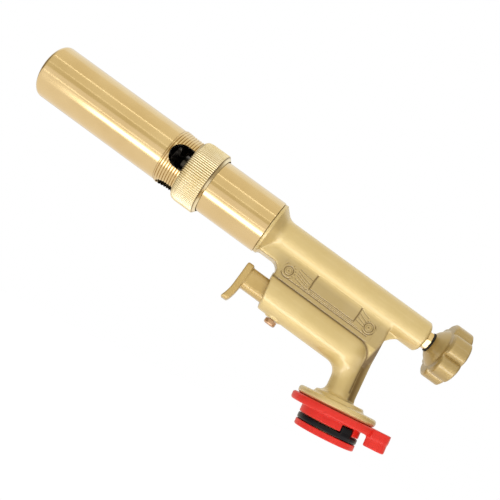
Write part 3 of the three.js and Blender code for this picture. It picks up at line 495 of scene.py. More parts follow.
def makeFlameTube():
    front, rear = span("flame_tube")
    rear += seamFill
    t = flameTube
    radius, wall, nose = t["radius"], t["wall"], t["nose"]
    # Nose: two quarter circles about one centre, with a half ellipse over the lip between them
    start, lip = front + nose, radius - nose
    bend = np.linspace(0, quarterTurn, t["bendRows"])[:, None]
    over = np.linspace(0, math.pi, t["lipRows"])[1:-1, None]
    outer, inner = (np.hstack([start - r * np.sin(bend), lip + r * np.cos(bend)])
                    for r in (nose, nose - wall))
    edge = np.hstack([front + wall / 2 * (1 - np.cos(over)), lip - t["lipRound"] * np.sin(over)])
    start += t["hold"]
    back = rounded([(start, radius - wall), (rear, radius - wall, t["rearEdge"]),
                    (rear, radius, t["rearEdge"]), (start, radius)], closed=False)
    profile = np.vstack([back, outer, edge, inner[::-1]])
    addPiece("flame_tube_drawn", "flame_tube", lathe(profile, t["sides"]))


# Sleeve: shouldered front, fine thread for the air ring, four air slots
sleeve = dict(radius=12.0, wall=2.1, relief=0.15, spigot=7.0, pitch=1.15, turns=17, perPitch=12, depth=0.45,
              rise=0.35, runOut=0.4, tarnishAndShade=0.7, slotAhead=44.1, slotRadius=5.05, slotRun=4.0, slots=4,
              sides=160)


def makeSleeve():
    s = sleeve
    front, rear = span("barrel_sleeve")
    rear += seamFill
    shoulder = front + s["spigot"]
    start = shoulder + s["relief"]
    end = start + s["pitch"] * s["turns"]
    radius, root, bore = s["radius"], s["radius"] - s["depth"] + s["rise"], s["radius"] - s["wall"]
    fit = flameTube["radius"] - flameTube["wall"] - clearance
    turn = np.linspace(0, fullTurn, s["sides"], endpoint=False)[None, :]
    x = np.linspace(start, end, s["turns"] * s["perPitch"] + 1)[:, None]
    # Thread: radius = root + depth * (1 - distance from the crest in half pitches, cubed), fading at its ends
    phase = (x - start) / s["pitch"] - turn / fullTurn
    wave = 1 - np.abs(2 * (phase % 1) - 1) ** 3
    fade = np.clip((x - start) / s["runOut"], 0, 1) * np.clip((end - x) / s["runOut"], 0, 1)
    thread = root + s["depth"] * wave * fade
    head = rounded([
        (end, bore), (shoulder - s["spigot"], bore, 0.3), (shoulder - s["spigot"], fit, 0.4),
        (shoulder, fit, 0.1), (shoulder, root, 0.05), (start, root)], closed=False)
    tail = rounded([
        (end, root), (end + 0.1, radius, 0.05), (rear, radius, 0.12), (rear, bore, 0.3),
        (end, bore)], closed=False)[:-1]
    rows = [np.repeat(p[:, None], s["sides"], 1) for p in (head[1:-1], tail[1:])]
    stations = np.vstack([rows[0][..., 0], x + 0 * turn, rows[1][..., 0]])
    radii = np.vstack([rows[0][..., 1], thread, rows[1][..., 1]])
    points = barrelPlace(stations, radii * np.sin(turn), radii * np.cos(turn))
    mesh = joined("barrel_sleeve", (points, gridQuads(len(stations), s["sides"], True, True)))
    # Tarnish and painted shade lie in the thread's grooves only
    bare = [np.zeros_like(r[..., 0]) for r in rows]
    tarnishedAndShaded(mesh, np.vstack([bare[0], s["tarnishAndShade"] * (1 - wave) ** 2 * fade, bare[1]]))
    centre = barrelPlace(-s["slotAhead"], 0.0, 0.0)
    bits = []
    for k in range(s["slots"]):
        out = across * math.cos(quarterTurn * k) + above * math.sin(quarterTurn * k)
        bits.append(drillBit(centre + out * bore / 2 * mm, centre + out * (radius + 2 * beyond) * mm,
                             s["slotRadius"], run=s["slotRun"]))
    addPiece("barrel_sleeve_threaded", "barrel_sleeve", drilled(mesh, *bits), sharp=50)


# Air ring: straight flutes that run out over its rounded front, and a sloping rim behind them
airRing = dict(radius=14.1, bore=12.65, flutes=92, perFlute=8, fluteDepth=0.5, fluteStart=0.4, ease=2.6,
               drop=1.1, rearEdge=0.3, tarnishAndShade=0.5, rimEdge=13.8, rimFoot=12.55, rimBore=12.4, rimRows=9,
               rimSides=160, rimShadeShare=0.4)


def makeAirRing():
    a = airRing
    front, rear = span("air_ring")
    rear += seamFill
    radius, bore, brow = a["radius"], a["bore"], a["radius"] - a["drop"]
    profile = rounded([
        (front, bore, 0.1), (front, brow, 0.3), (front + a["ease"] * 0.3, radius - a["drop"] * 0.33, 1.6),
        (front + a["ease"], radius, 2.4), (rear, radius, a["rearEdge"]), (rear, bore, 0.1)], stepTurn=6)
    turn = np.linspace(0, fullTurn, a["flutes"] * a["perFlute"], endpoint=False)
    # Flutes: rounded ridges with sharp valleys, radius less depth * (1 - |sin(half the flute angle)|)
    valley = 1 - np.abs(np.sin(turn * a["flutes"] / 2))
    reach = np.clip((profile[:, 1] - (brow - a["fluteStart"])) / a["fluteStart"], 0, 1)[:, None]
    r = profile[:, 1:2] - a["fluteDepth"] * valley * reach
    points = barrelPlace(profile[:, :1] + 0 * turn, r * np.sin(turn), r * np.cos(turn))
    mesh = joined("air_ring", (points, gridQuads(len(profile), len(turn), True, True)))
    # Tarnish and painted shade darken the flutes' valleys
    tarnishedAndShaded(mesh, a["tarnishAndShade"] * valley ** 1.5 * reach)
    addPiece("air_ring_fluted", "air_ring", mesh, sharp=70, look="bright_brass")
    # Rim: a slope without flutes, with a brown band of painted shade where it leaves the flutes
    front, rear = span("air_ring_rim")
    slope = np.linspace((front, a["rimEdge"]), (rear, a["rimFoot"]), a["rimRows"])
    rim = np.vstack([(front, a["rimBore"]), slope, (rear, a["rimBore"])])
    rimShade = np.clip(1 - (rim[:, 0] - front) / (rear - front) / a["rimShadeShare"], 0, 1)
    mesh = joined("air_ring_rim", lathe(rim, a["rimSides"]))
    addPiece("air_ring_rim_turned", "air_ring_rim", tarnishedAndShaded(mesh, np.repeat(rimShade, a["rimSides"])),
             look="bright_brass")


# Burner head, mixing tube, pipe and jet: what shows through the nose and the air slots
burner = dict(headRadius=10.75, mouth=3.0, lip=1.5, socket=4.9, ports=8, portRadius=1.3, portCircle=7.4,
              tube=4.6, tubeBore=3.4, bell=5.4, bellLength=3.0, flange=9.6, flangeLength=1.2, sparkHole=1.8)
jet = dict(pipe=3.0, pipeBore=1.2, collar=4.4, collarLength=2.6, radius=4.3, tip=2.4, cone=3.0, bore=0.45)
# Spark rod in its ceramic insulator, below the burner's axis: a wire whose tip hooks up to the head
spark = dict(radius=0.45, tail=1.2, reach=4.6, hook=2.6, drop=7.3, insulator=1.5, bore=0.8, round=0.35)


def makeBurner():
    b = burner
    front, rear = span("burner_head")
    head = rounded([
        (front, b["mouth"], 0.3), (front, b["headRadius"], 0.4), (rear, b["headRadius"], 0.2),
        (rear, b["socket"], 0.1), (front + b["lip"], b["socket"], 0.1), (front + b["lip"], b["mouth"], 0.2)])
    # The lowest port is wider and lets the spark rod through
    holes = [(0.0, -spark["drop"], b["sparkHole"])]
    for k in range(1, b["ports"]):
        turn = fullTurn * k / b["ports"] - quarterTurn
        holes.append((b["portCircle"] * math.cos(turn), b["portCircle"] * math.sin(turn), b["portRadius"]))
    bits = [drillBit(barrelPlace(front - beyond, y, z), barrelPlace(rear + beyond, y, z), radius, 32)
            for y, z, radius in holes]
    addPiece("burner_head_bored", "burner_head", drilled(joined("burner_head", lathe(head, 96)), *bits))

    front, mouth = span("mixing_tube")
    throat = mouth - b["bellLength"]
    flange = throat - b["flangeLength"]
    wall = b["tube"] - b["tubeBore"]
    tube = rounded([
        (front, b["tubeBore"], 0.2), (front, b["tube"], 0.2), (flange, b["tube"], 0.3),
        (flange, b["flange"], 0.15), (throat, b["flange"], 0.15), (throat, b["tube"], 0.3),
        (mouth, b["bell"], 0.12), (mouth, b["bell"] - clearance, 0.1),
        (throat, b["tubeBore"] + wall / 6, 1.5)])
    # The mixing tube and the jet stand in the flame's draught and are black with soot; their dark finish is also
    # painted shade inside the sleeve
    addPiece("mixing_tube_drawn", "mixing_tube", lathe(tube, 96), look="blackened_steel")

    front, rear = span("jet_pipe")
    washer = span("pipe_washer")
    collarEnd = washer[0] - clearance
    collarStart = collarEnd - jet["collarLength"]
    pipe = rounded([
        (front, jet["pipeBore"], 0.1), (front, jet["pipe"], 0.2), (collarStart, jet["pipe"], 0.3),
        (collarStart, jet["collar"], 0.25), (collarEnd, jet["collar"], 0.25), (collarEnd, jet["pipe"], 0.1),
        (rear, jet["pipe"], 0.2), (rear, jet["pipeBore"], 0.1)])
    addPiece("jet_pipe_turned", "jet_pipe", lathe(pipe, 64))
    fit = jet["pipe"] + clearance
    addPiece("pipe_washer_pressed", "pipe_washer", lathe(tubeProfile(*washer, jet["collar"], fit), 64))

    tip, rear = span("gas_jet")
    floor = front - clearance
    body = rounded([
        (rear, fit, 0.15), (rear, jet["radius"], 0.3), (tip + jet["cone"], jet["radius"], 0.4),
        (tip, jet["tip"], 0.3), (tip, jet["bore"], 0.1), (floor, jet["bore"], 0.05), (floor, fit, 0.1)])
    addPiece("gas_jet_turned", "gas_jet", lathe(body, 96), look="blackened_steel")


# A round wire along points of the barrel's middle plane: circles square to the path, with closed ends
def wireAlong(x, z, radius, sides=16):
    direction = np.stack([np.gradient(x), np.gradient(z)], -1)
    direction /= np.linalg.norm(direction, axis=1, keepdims=True)
    turn = np.linspace(0, fullTurn, sides, endpoint=False)[None, :]
    lift = radius * np.cos(turn)
    points = barrelPlace(x[:, None] - direction[:, 1:] * lift, radius * np.sin(turn) + 0 * x[:, None],
                         z[:, None] + direction[:, :1] * lift)
    ends = [np.broadcast_to(barrelPlace(x[k], 0.0, z[k]), (1, sides, 3)) for k in (0, -1)]
    points = np.concatenate([ends[0], points, ends[1]])
    return points, gridQuads(len(points), sides, False, True)


def makeSpark():
    s = spark
    front, rear = span("electrode_insulator")
    profile = tubeProfile(front, rear, s["insulator"], s["bore"], s["round"], 0.1)
    addPiece("electrode_insulator_fired", "electrode_insulator", lathe(profile, 40, -s["drop"]))
    # Rod: straight through the insulator, an eighth of a circle upwards, then a slope to the hook's tip
    bend = front - s["reach"]
    swing, slope = np.linspace(0, math.pi / 4, 8), np.linspace(0, 1, 6)[1:]
    size = s["hook"] / 2
    x = np.concatenate([[rear + s["tail"]], np.linspace(rear, bend + size, 12),
                        bend + size - size * np.sin(swing)])
    z = np.concatenate([[0], np.zeros(12), size * (1 - np.cos(swing))]) - s["drop"]
    x = np.concatenate([x, x[-1] - slope * (x[-1] - bend + s["hook"])])
    z = np.concatenate([z, z[-1] + slope * (s["hook"] - s["drop"] - z[-1])])
    keep = np.concatenate([[True], np.hypot(np.diff(x), np.diff(z)) > 0.001])  # no two points in one place
    addPiece("spark_electrode_bent", "spark_electrode", wireAlong(x[keep], z[keep], s["radius"]))


makeFlameTube()
makeSleeve()
makeAirRing()
makeBurner()
makeSpark()
print("burner made")


# Smooth least and greatest of two fields: the sharp one, rounded over a width k in millimetres
def meet(a, b, k):
    h = np.clip(0.5 + 0.5 * (b - a) / k, 0, 1)
    return b + (a - b) * h - k * h * (1 - h)


def trim(a, b, k):
    return -meet(-a, -b, k)


# Distance out of a slab between two levels of one direction, negative inside
def slab(value, low, high):
    return np.abs(value - (low + high) / 2) - (high - low) / 2


# Distance out of a corner, from those out of its two sides: the greater one, or their diagonal past both
def cornered(u, v):
    return np.hypot(np.clip(u, 0, None), np.clip(v, 0, None)) + np.minimum(np.maximum(u, v), 0)


# How far a value has gone from a start over a length, from 0 to 1
def partWay(value, start, length):
    return np.clip((value - start) / length, 0, 1)


# Signed distance to a polygon in a plane: least distance to its sides, negative inside by crossing count
def polygonField(u, v, outline):
    corners = np.array(outline, float)
    best, inside = np.inf, False
    for (ax, ay), (bx, by) in zip(corners, np.roll(corners, -1, 0)):
        ex, ey = bx - ax, by - ay
        wx, wy = u - ax, v - ay
        share = np.clip((wx * ex + wy * ey) / (ex * ex + ey * ey), 0, 1)
        best = np.minimum(best, (wx - ex * share) ** 2 + (wy - ey * share) ** 2)
        crosses = (v >= ay) != (v >= by)
        inside = inside ^ (crosses & (wx < ex * wy / (ey if ey else 1)))
    return np.sqrt(best) * np.where(inside, -1, 1)


# Skin of a field at zero, as a net: one point in each cell that the skin crosses, at the mean of the
# crossings on the cell's edges, four neighbouring points to a face, then drawn on to the skin along its slope
def skin(field, low, high, step):
    axes = [np.arange(a - step, b + 2 * step, step) for a, b in zip(low, high)]
    x, y, z = axes[0][:, None, None], axes[1][None, :, None], axes[2][None, None, :]
    values = np.broadcast_to(field(x, y, z), [len(a) for a in axes])
    inside = values < 0
    cells = [n - 1 for n in values.shape]
    corners = [(i, j, k) for i in (0, 1) for j in (0, 1) for k in (0, 1)]
    count = sum(inside[i:i + cells[0], j:j + cells[1], k:k + cells[2]].astype(np.int8) for i, j, k in corners)
    active = np.argwhere((count > 0) & (count < 8))
    level = np.stack([values[active[:, 0] + i, active[:, 1] + j, active[:, 2] + k] for i, j, k in corners], -1)
    total, hits = np.zeros((len(active), 3)), np.zeros(len(active))
    for a in range(8):
        for b in range(a + 1, 8):
            if sum(p != q for p, q in zip(corners[a], corners[b])) != 1:
                continue
            va, vb = level[:, a], level[:, b]
            cross = (va < 0) != (vb < 0)
            share = np.where(cross, va / np.where(cross, va - vb, 1), 0)[:, None]
            point = np.array(corners[a]) + share * (np.array(corners[b]) - np.array(corners[a]))
            total += np.where(cross[:, None], point, 0)
            hits += cross
    points = (active + total / hits[:, None]) * step + np.array([a[0] for a in axes])
    index = np.full(cells, -1, np.int64)
    index[tuple(active.T)] = np.arange(len(active))
    quads = []
    for axis in range(3):
        other = [(axis + 1) % 3, (axis + 2) % 3]
        front = [slice(None)] * 3
        front[axis] = slice(1, None)
        back = [slice(None)] * 3
        back[axis] = slice(None, -1)
        at = np.argwhere(inside[tuple(front)] != inside[tuple(back)])
        at = at[(at[:, other[0]] > 0) & (at[:, other[1]] > 0)]
        at = at[(at[:, other[0]] < cells[other[0]]) & (at[:, other[1]] < cells[other[1]])]
        ring = []
        for du, dv in ((-1, -1), (0, -1), (0, 0), (-1, 0)):
            cell = at.copy()
            cell[:, other[0]] += du
            cell[:, other[1]] += dv
            ring.append(index[tuple(cell.T)])
        ring = np.stack(ring, -1)
        leaving = inside[tuple(back)][tuple(at.T)]
        quads.append(np.where(leaving[:, None], ring, ring[:, ::-1]))
    reach, rounds = step * 0.02, 5
    for _ in range(rounds):
        value = field(*points.T)
        slope = np.stack([field(*(points + reach * np.eye(3)[a]).T) - value for a in range(3)], -1) / reach
        size = np.maximum((slope ** 2).sum(-1), 0.05)
        move = -(value / size)[:, None] * slope
        stride = np.maximum(np.linalg.norm(move, axis=1), 1e-9)
        points = points + move * np.minimum(1, 0.5 * step / stride)[:, None]
    return points, np.concatenate(quads)


def skinStep(size):
    return size * 1.0


# Casting, in the barrel frame: flared tube, web, housing, post and connector flange as one metal
casting = dict(
    flange=11.7, flangeLength=1.5, flare=11.6, slope=50, fillet=5.0, handle=6.85, end=76.8, chamfer=1.0,
    diagonal=1.414, overlap=0.4, spigot=9.6, spigotLength=8.0, spigotWall=1.1, spigotRoot=0.3,
    webHalf=4.9, webStart=0.8, webFront=12.7, webNose=10.3, webRound=4.0, rearOffset=5.5, footOffset=0.6,
    footRise=3, finFront=3.3, finRear=1.6, finDrop=2.4, finRise=7, slopeStart=1.5, slopeRise=11.6,
    gussetHalf=2.2, gussetReach=4.8, gussetDrop=5, gussetStep=3,
    housing=7.8, housingDrop=21.6, housingFront=12.0, rake=12.2, corner=54.4, bore=5.8, boreEnd=48.0,
    boss=3.4, bossRise=0.4, bossRoot=3, screw=22.9, post=4.9, postForward=2.0, postSink=1,
    throatSoft=0.8, throatFill=3.8, throatAhead=6, throatDrop=5,
    plate=16.4, plateBottom=11.65, plateTop=14.7, stepRadius=10.3, stepMiddle=14.65, stepTop=16.3,
    spigotLow=9.5, spigotBottom=2.7, spigotTop=12.5, socket=6.6, socketDepth=9.5, inlet=3.3, inletTop=17.1,
    chamber=2.6, chamberStart=52.0, gland=3.4, glandStart=68.1, step=0.5)
seatX, seatZ = toBarrel((0, 0, 0))


# Distance along the burner of the cartridge axis at a level below the burner axis
def axisAt(level):
    return seatX - (level - seatZ) * math.tan(tilt)


# Distance of a point of the middle plane behind the cartridge axis, and its height over the seat
def seatWays(x, z):
    return ((x - seatX) * math.cos(tilt) + (z - seatZ) * math.sin(tilt),
            -(x - seatX) * math.sin(tilt) + (z - seatZ) * math.cos(tilt))


# Flare and handle: a cone from the flange, then an arc that runs out into the handle, their centre rising
# from the burner's axis to the valve's
def handleField(x, y, z):
    c = casting
    slope = math.radians(c["slope"])
    arcLength, arcRise = c["fillet"] * math.sin(slope), c["fillet"] * (1 - math.cos(slope))
    coneLength = (c["flare"] - c["handle"] - arcRise) / math.tan(slope)
    coneEnd = c["flangeLength"] + coneLength
    ahead = np.clip(coneEnd + arcLength - x, 0, arcLength)
    onCone = np.clip(coneEnd - x, 0, coneLength) * math.tan(slope)
    radius = c["handle"] + c["fillet"] - np.sqrt(c["fillet"] ** 2 - ahead ** 2) + onCone
    centre = valveRise * (1 - (radius - c["handle"]) / (c["flare"] - c["handle"]))
    tube = trim(np.hypot(y, z - centre) - radius, c["flangeLength"] - c["overlap"] - x, 0.3)
    bevel = (np.hypot(y, z - valveRise) + x - c["handle"] - c["end"] + c["chamfer"]) / c["diagonal"]
    return trim(tube, trim(x - c["end"], bevel, 0.3), 0.3)


# Web: a plate in the middle plane, whose sides slope in to its rear edge, more so lower down, until it is
# a thin fin behind the post
def webField(x, y, z, px):
    c = casting
    low, foot = -c["housingDrop"], seatZ + c["stepTop"] * math.cos(tilt)
    front, nose, corner, rear = c["webFront"], -c["webNose"], c["webRound"], c["rearOffset"]
    bend = np.linspace(quarterTurn, 0, 13)
    curve = np.stack([front - corner + corner * np.cos(bend), nose - corner + corner * np.sin(bend)], -1)
    ankle = foot + c["footRise"]
    outline = [(c["webStart"], -2), (c["webStart"], nose), *curve, (front, low), (axisAt(low), low),
               (axisAt(foot), foot), (axisAt(foot) + rear + c["footOffset"], foot),
               (axisAt(ankle) + rear, ankle), (axisAt(-c["handle"]) + rear, -3)]
    thick = c["finFront"] + (c["webHalf"] - c["finFront"]) * partWay(z, low - c["finDrop"], c["finRise"])
    start = c["slopeStart"] + (rear - c["slopeStart"]) * partWay(z, low, c["slopeRise"])
    half = thick - (thick - c["finRear"]) * partWay(px, start, rear - c["slopeStart"])
    return trim(polygonField(x, z, outline), np.abs(y) - half, 1.0)


# Gusset: a thin rib that carries the web's rear edge up to the handle
def gussetField(x, y, z):
    c = casting
    foot = valveRise - c["handle"] - c["gussetDrop"]
    rear, reach = axisAt(foot) + c["rearOffset"], c["gussetReach"]
    start = rear - c["rearOffset"]
    rib = polygonField(x, z, [(start, 0), (start, foot), (rear, foot),
                              (rear + reach / 2, foot + c["gussetStep"]),
                              (rear + reach, foot + c["gussetDrop"]), (rear + reach, 0)])
    return trim(rib, np.abs(y) - c["gussetHalf"], 0.7)


# Housing: a round tube with a spherical elbow, its front cut back by the rake, and the igniter screw's boss
def housingField(x, y, dropped):
    c = casting
    elbow = np.sqrt(y * y + dropped * dropped + np.clip(x - c["corner"], 0, None) ** 2)
    tube = np.where(x > c["corner"], elbow, np.hypot(y, dropped)) - c["housing"]
    rake = math.radians(c["rake"])
    face = -((x - c["housingFront"]) * math.cos(rake) + (dropped - c["housing"]) * math.sin(rake))
    boss = trim(np.hypot(x - c["screw"], y) - c["boss"], -dropped - c["housing"] - c["bossRise"], 0.4)
    return meet(trim(tube, face, 0.8), trim(boss, dropped + c["bossRoot"], 0.4), 0.5)


def castingField(x, y, z):
    c = casting
    px, pz = seatWays(x, z)
    fromBurner, fromSeat = np.hypot(y, z), np.hypot(px, y)
    band = trim(fromBurner - c["flange"], slab(x, 0, c["flangeLength"]), 0.35)
    middle = c["spigotLength"] / 2
    length = np.abs(x + middle - c["spigotRoot"]) - middle - c["spigotRoot"]
    spigot = trim(fromBurner - c["spigot"], length, 0.4)
    body = meet(meet(handleField(x, y, z), band, 0.25), spigot, 0.3)
    body = meet(body, webField(x, y, z, px), 1.3)
    body = meet(body, gussetField(x, y, z), 0.6)
    # Post: a round bar down to the connector, parallel to the cartridge axis
    dropped = z + c["housingDrop"]
    postTop = (-c["housingDrop"] - seatZ) / math.cos(tilt)
    post = trim(trim(np.hypot(px + c["postForward"], y) - c["post"], pz - postTop, 1.0),
                c["stepTop"] - c["postSink"] - pz, 0.5)
    # In the angle between housing and post the metal is filled out
    inside = np.clip(0.5 - px / c["throatAhead"], 0, 1) * np.clip(-dropped / c["throatDrop"], 0, 1)
    lower = meet(housingField(x, y, dropped), post, c["throatSoft"] + c["throatFill"] * inside)
    # Connector flange: plate, step above it and spigot below it
    plate = trim(fromSeat - c["plate"], slab(pz, c["plateBottom"], c["plateTop"]), 1.5)
    raised = np.abs(pz - c["stepMiddle"]) - (c["stepTop"] - c["stepMiddle"])
    stepDisc = trim(fromSeat - c["stepRadius"], raised, 1.0)
    collar = trim(fromSeat - c["spigotLow"], slab(pz, c["spigotBottom"], c["spigotTop"]), 0.5)
    lower = meet(lower, meet(meet(plate, stepDisc, 1.2), collar, 0.3), 3.4)
    body = meet(body, lower, 0.45)
    # Bores of igniter, valve chamber, gland, cartridge socket, inlet and spigot
    bore = trim(np.hypot(y, dropped) - c["bore"], x - c["boreEnd"], 0.4)
    body = trim(body, -bore, 0.45)
    fromValve = np.hypot(y, z - valveRise)
    for hole, end, soft in ((fromValve - c["chamber"], c["chamberStart"] - x, 0.3),
                            (fromValve - c["gland"], c["glandStart"] - x, 0.3),
                            (fromSeat - c["socket"], pz - c["socketDepth"], 0.4),
                            (fromSeat - c["inlet"], pz - c["inletTop"], 0.3),
                            (fromBurner - (c["spigot"] - c["spigotWall"]), x + 0.2, 0.3)):
        body = trim(body, -trim(hole, end, soft), soft)
    return body


# Relief on each side of the web, engraved: a bare panel between two rosettes, fine lines that leave the
# rosettes and pass below the panel, a border that curls up round the outer side of each rosette, and the
# crease where the web meets the housing
relief = dict(left=13.7, right=58.9, low=-16.3, high=-4.3, round=2, grid=0.13, edge=0.5, lift=0.03, tuck=0.12,
              recess=0.4, back=1.2, depth=0.2, line=0.15, panelLeft=27.6, panelRight=49.1, panelTop=-4.6,
              panelLow=-11.4, panelBow=0.2, topStart=8, border=-13.3, borderLeft=0.6, borderRight=1.0,
              crease=-15.5, petals=14, petalDepth=0.8, fanSag=0.15)
rosettes = [
    dict(x=16.78, z=-10.3, boss=1.15, ring=1.85, halo=3.1, side=-1),
    dict(x=55.58, z=-9.84, boss=1.15, ring=1.85, halo=2.75, side=1),
]
fanLeft = dict(start=20.5, end=26.8, high=[-7.0, -8.1, -9.0, -9.9, -11.3],
               low=[-7.8, -9.8, -10.9, -11.5, -12.4])
fanRight = dict(start=49.4, end=53.6, high=[-5.4, -7.0, -8.6, -10.2], low=[-6.8, -8.6, -9.8, -10.7])
belowPanel = [(-12.0, 26.6, 49.3), (-12.65, 24.0, 52.0)]
# Crease between web, housing, elbow and fin, as points of the middle plane
crease = [(12.9, -15.5), (54.4, -15.5), (56.6, -15.7), (58.7, -16.5), (60.4, -18.0), (61.6, -19.8),
          (62.1, -21.6), (62.4, -24.0), (63.0, -28.4), (64.1, -34.9)]


# Distance inwards from the relief's edge, whose corners are cut round
def reliefInset(x, z):
    f = relief
    u, v = slab(x, f["left"], f["right"]), slab(z, f["low"], f["high"])
    return f["round"] - cornered(u + f["round"], v + f["round"])


# The casting is cut back a little under the relief, on the web's sides only
def cutCasting(x, y, z):
    f = relief
    depth = f["recess"] * partWay(reliefInset(x, z), f["edge"], f["edge"])
    return castingField(x, y, z) + np.where(np.abs(y) > 2, depth, 0)


# Least distance from points of the middle plane to a line of points
def lineDistance(x, z, points):
    best = np.inf
    for (ax, az), (bx, bz) in zip(points[:-1], points[1:]):
        ex, ez = bx - ax, bz - az
        part = np.clip(((x - ax) * ex + (z - az) * ez) / (ex * ex + ez * ez), 0, 1)
        best = np.minimum(best, np.hypot(x - ax - ex * part, z - az - ez * part))
    return best


# Depth of the engraving: the deepest of all its lines, each a smooth groove across its distance
def engraving(x, z):
    f = relief
    left, right, top, low = f["panelLeft"], f["panelRight"], f["panelTop"], f["panelLow"]
    first, last = rosettes[0]["x"] - f["borderLeft"], rosettes[1]["x"] + f["borderRight"]
    middle = (top + low) / 2
    # Lines as their points, with width and depth
    lines = [([(left, top), (left - f["panelBow"], middle), (left, low)], 1.9, 1.2),
             ([(right, top), (right + f["panelBow"], middle), (right, low)], 1.7, 1.2),
             ([(left, low), (right, low)], 1.1, 1.0),
             ([(left + f["topStart"], top), (right, top)], 0.8, 0.6),
             ([(first, f["border"]), (last, f["border"])], 1.3, 1.2)]
    for fan in (fanLeft, fanRight):
        for start, end in zip(fan["high"], fan["low"]):
            waist = ((fan["start"] + fan["end"]) / 2, (start + end) / 2 - f["fanSag"])
            lines.append(([(fan["start"], start), waist, (fan["end"], end)], 0.85, 0.85))
    lines += [([(start, level), (end, level)], 0.8, 0.75) for level, start, end in belowPanel]
    grooves = [(lineDistance(x, z, points), width, depth) for points, width, depth in lines]
    grooves.append((z - f["crease"], 2.0, 1.6))
    for rosette in rosettes:
        u, v = x - rosette["x"], z - rosette["z"]
        around = np.hypot(u, v)
        # Halo: an arc round the rosette's outer side that runs down into the border
        outer = np.clip(0.6 + 1.6 * (rosette["side"] * u - 0.8 * v) / rosette["halo"], 0, 1)
        # Petals: short dashes on the rosette's inner side
        turn = np.arctan2(v, -rosette["side"] * u)
        dashes = np.clip(2.5 * np.cos(turn * f["petals"]), 0, 1) * (np.abs(turn - 0.35) < 0.95)
        grooves += [(around - rosette["ring"], 1.2, 1.2), (around - rosette["boss"], 0.8, 0.7),
                    (around, 2.2, 1.0), (around - rosette["halo"], 1.5, 1.2 * outer),
                    (around - rosette["halo"] + 0.35, 1.8, f["petalDepth"] * dashes)]
    cuts = [depth * f["depth"] * np.exp(-(distance / (f["line"] * width)) ** 2)
            for distance, width, depth in grooves]
    return np.max(np.stack(np.broadcast_arrays(*cuts)), 0)


# Painted shade: dark in the crease and on the fin behind it, faint on the web's flat sides
shading = dict(crease=0.5, finStart=1.8, finEnd=6.2, finTop=-9, finDepth=0.95, sides=0.36, sidesTop=-4.5,
               sidesLow=-15.6, sidesFront=6, sidesRear=6, grooves=0.9)


def creaseAndFinShade(x, y, z):
    g = shading
    px, pz = seatWays(x, z)
    shade = np.exp(-(lineDistance(x, z, crease) / g["crease"]) ** 2)
    rise = partWay(z, -casting["housingDrop"], casting["slopeRise"])
    start = g["finStart"] + (casting["rearOffset"] - g["finStart"]) * rise
    behind = g["finDepth"] * partWay(px, start, 0.8) * partWay(-z, -g["finTop"], 4)
    behind = behind * partWay(-px, -g["finEnd"], 0.5) * partWay(pz, casting["stepTop"], 1)
    return np.maximum(np.maximum(shade, behind) * partWay(np.abs(y), 1.0, 1.5), webSideShade(x, z, px))


def webSideShade(x, z, px):
    g = shading
    upright = partWay(-z, -g["sidesTop"], 3) * partWay(z, g["sidesLow"], 0.4)
    return g["sides"] * upright * partWay(x, g["sidesFront"], 8) * (px < g["sidesRear"])


# Relief plate: the casting's own side found along y for a fine grid of x and z, less the engraving's depth,
# with a back sunk into the casting; each row along x is a closed loop, and both end rows are zipped shut
def reliefPlate(side):
    f = relief
    step = f["grid"] * 1
    x, z = np.meshgrid(np.arange(f["left"], f["right"], step), np.arange(f["low"], f["high"], step),
                       indexing="ij")
    # The side lies between these two distances from the middle plane, halved again and again
    low, high, halvings = np.full(x.shape, 2.0), np.full(x.shape, 9.0), 18
    for _ in range(halvings):
        middle = (low + high) / 2
        outside = castingField(x, side * middle, z) > 0
        low, high = np.where(outside, low, middle), np.where(outside, middle, high)
    inset = reliefInset(x, z)
    fall = np.clip(1 - inset / f["edge"], 0, 1.5) ** 2
    face = (low + high) / 2 + f["lift"] - (f["lift"] + f["tuck"]) * fall
    cut = engraving(x, z) * np.clip(inset / f["edge"], 0, 1)
    front, back = face - cut, face - f["back"]
    loop = np.concatenate([front, back[:, ::-1]], 1)
    ends = [(front[k] + back[k]) / 2 for k in (0, -1)]
    ends = [np.concatenate([e, e[::-1]])[None] for e in ends]
    y = side * np.concatenate([ends[0], loop, ends[1]])
    # The web's sides carry their painted shade here too, darker in the engraving's grooves
    plain = webSideShade(x, z, 0.0)
    shade = plain + np.clip(cut / f["depth"], 0, 1) * (shading["grooves"] - plain)
    rows = (slice(0, 1), slice(None), slice(-1, None))
    x, z, shade = (np.concatenate([np.concatenate([a, a[:, ::-1]], 1)[k] for k in rows])
                   for a in (x, z, shade))
    return barrelPlace(x, y, z), gridQuads(len(x), x.shape[1], False, True), shade


# A piece that is a field's skin, inside a box in millimetres, placed by one of the two frames
def addSkin(name, node, field, low, high, step, place, sharp, shade=None):
    points, quads = skin(field, low, high, skinStep(step))
    print(node, "skin:", len(quads), "faces")
    mesh = meshFrom(node, place(*points.T), quads)
    if shade:
        tarnishedAndShaded(mesh, shade(*points.T))
    addPiece(name, node, mesh, sharp, merge=False)


def makeCasting():
    wide = casting["plate"] + 1
    low = (-casting["spigotLength"] - 1, -wide, seatZ - 1)
    high = (seatX + wide, wide, casting["flange"] + 1)
    addSkin("cast_body_skin", "cast_body", cutCasting, low, high, casting["step"], barrelPlace, 60,
            creaseAndFinShade)
    plates = [reliefPlate(side) for side in (-1, 1)]
    mesh = joined("web_relief", *(made[:2] for made in plates))
    tarnishedAndShaded(mesh, np.concatenate([made[2].ravel() for made in plates]))
    addPiece("web_relief", "cast_body", mesh, 60)


makeCasting()
print("casting made")


# Gland nut, washer and knob sit nearly tight against each other
closing = 0.18

# Gland nut: a hexagon bar with its corners turned off on a thread shank, and the washer behind it
gland = dict(flats=7.0, head=2.0, shank=3.1, bore=2.15, corners=0.6, chamfer=0.15, slope=1.7, sides=144,
             washer=4.25, washerRound=0.25)


# Radius of a regular hexagon at a turn, from its flats
def hexagonRadius(turn, flats):
    sector = (turn + math.pi / 6) % (math.pi / 3) - math.pi / 6
    return flats / 2 / np.cos(sector)


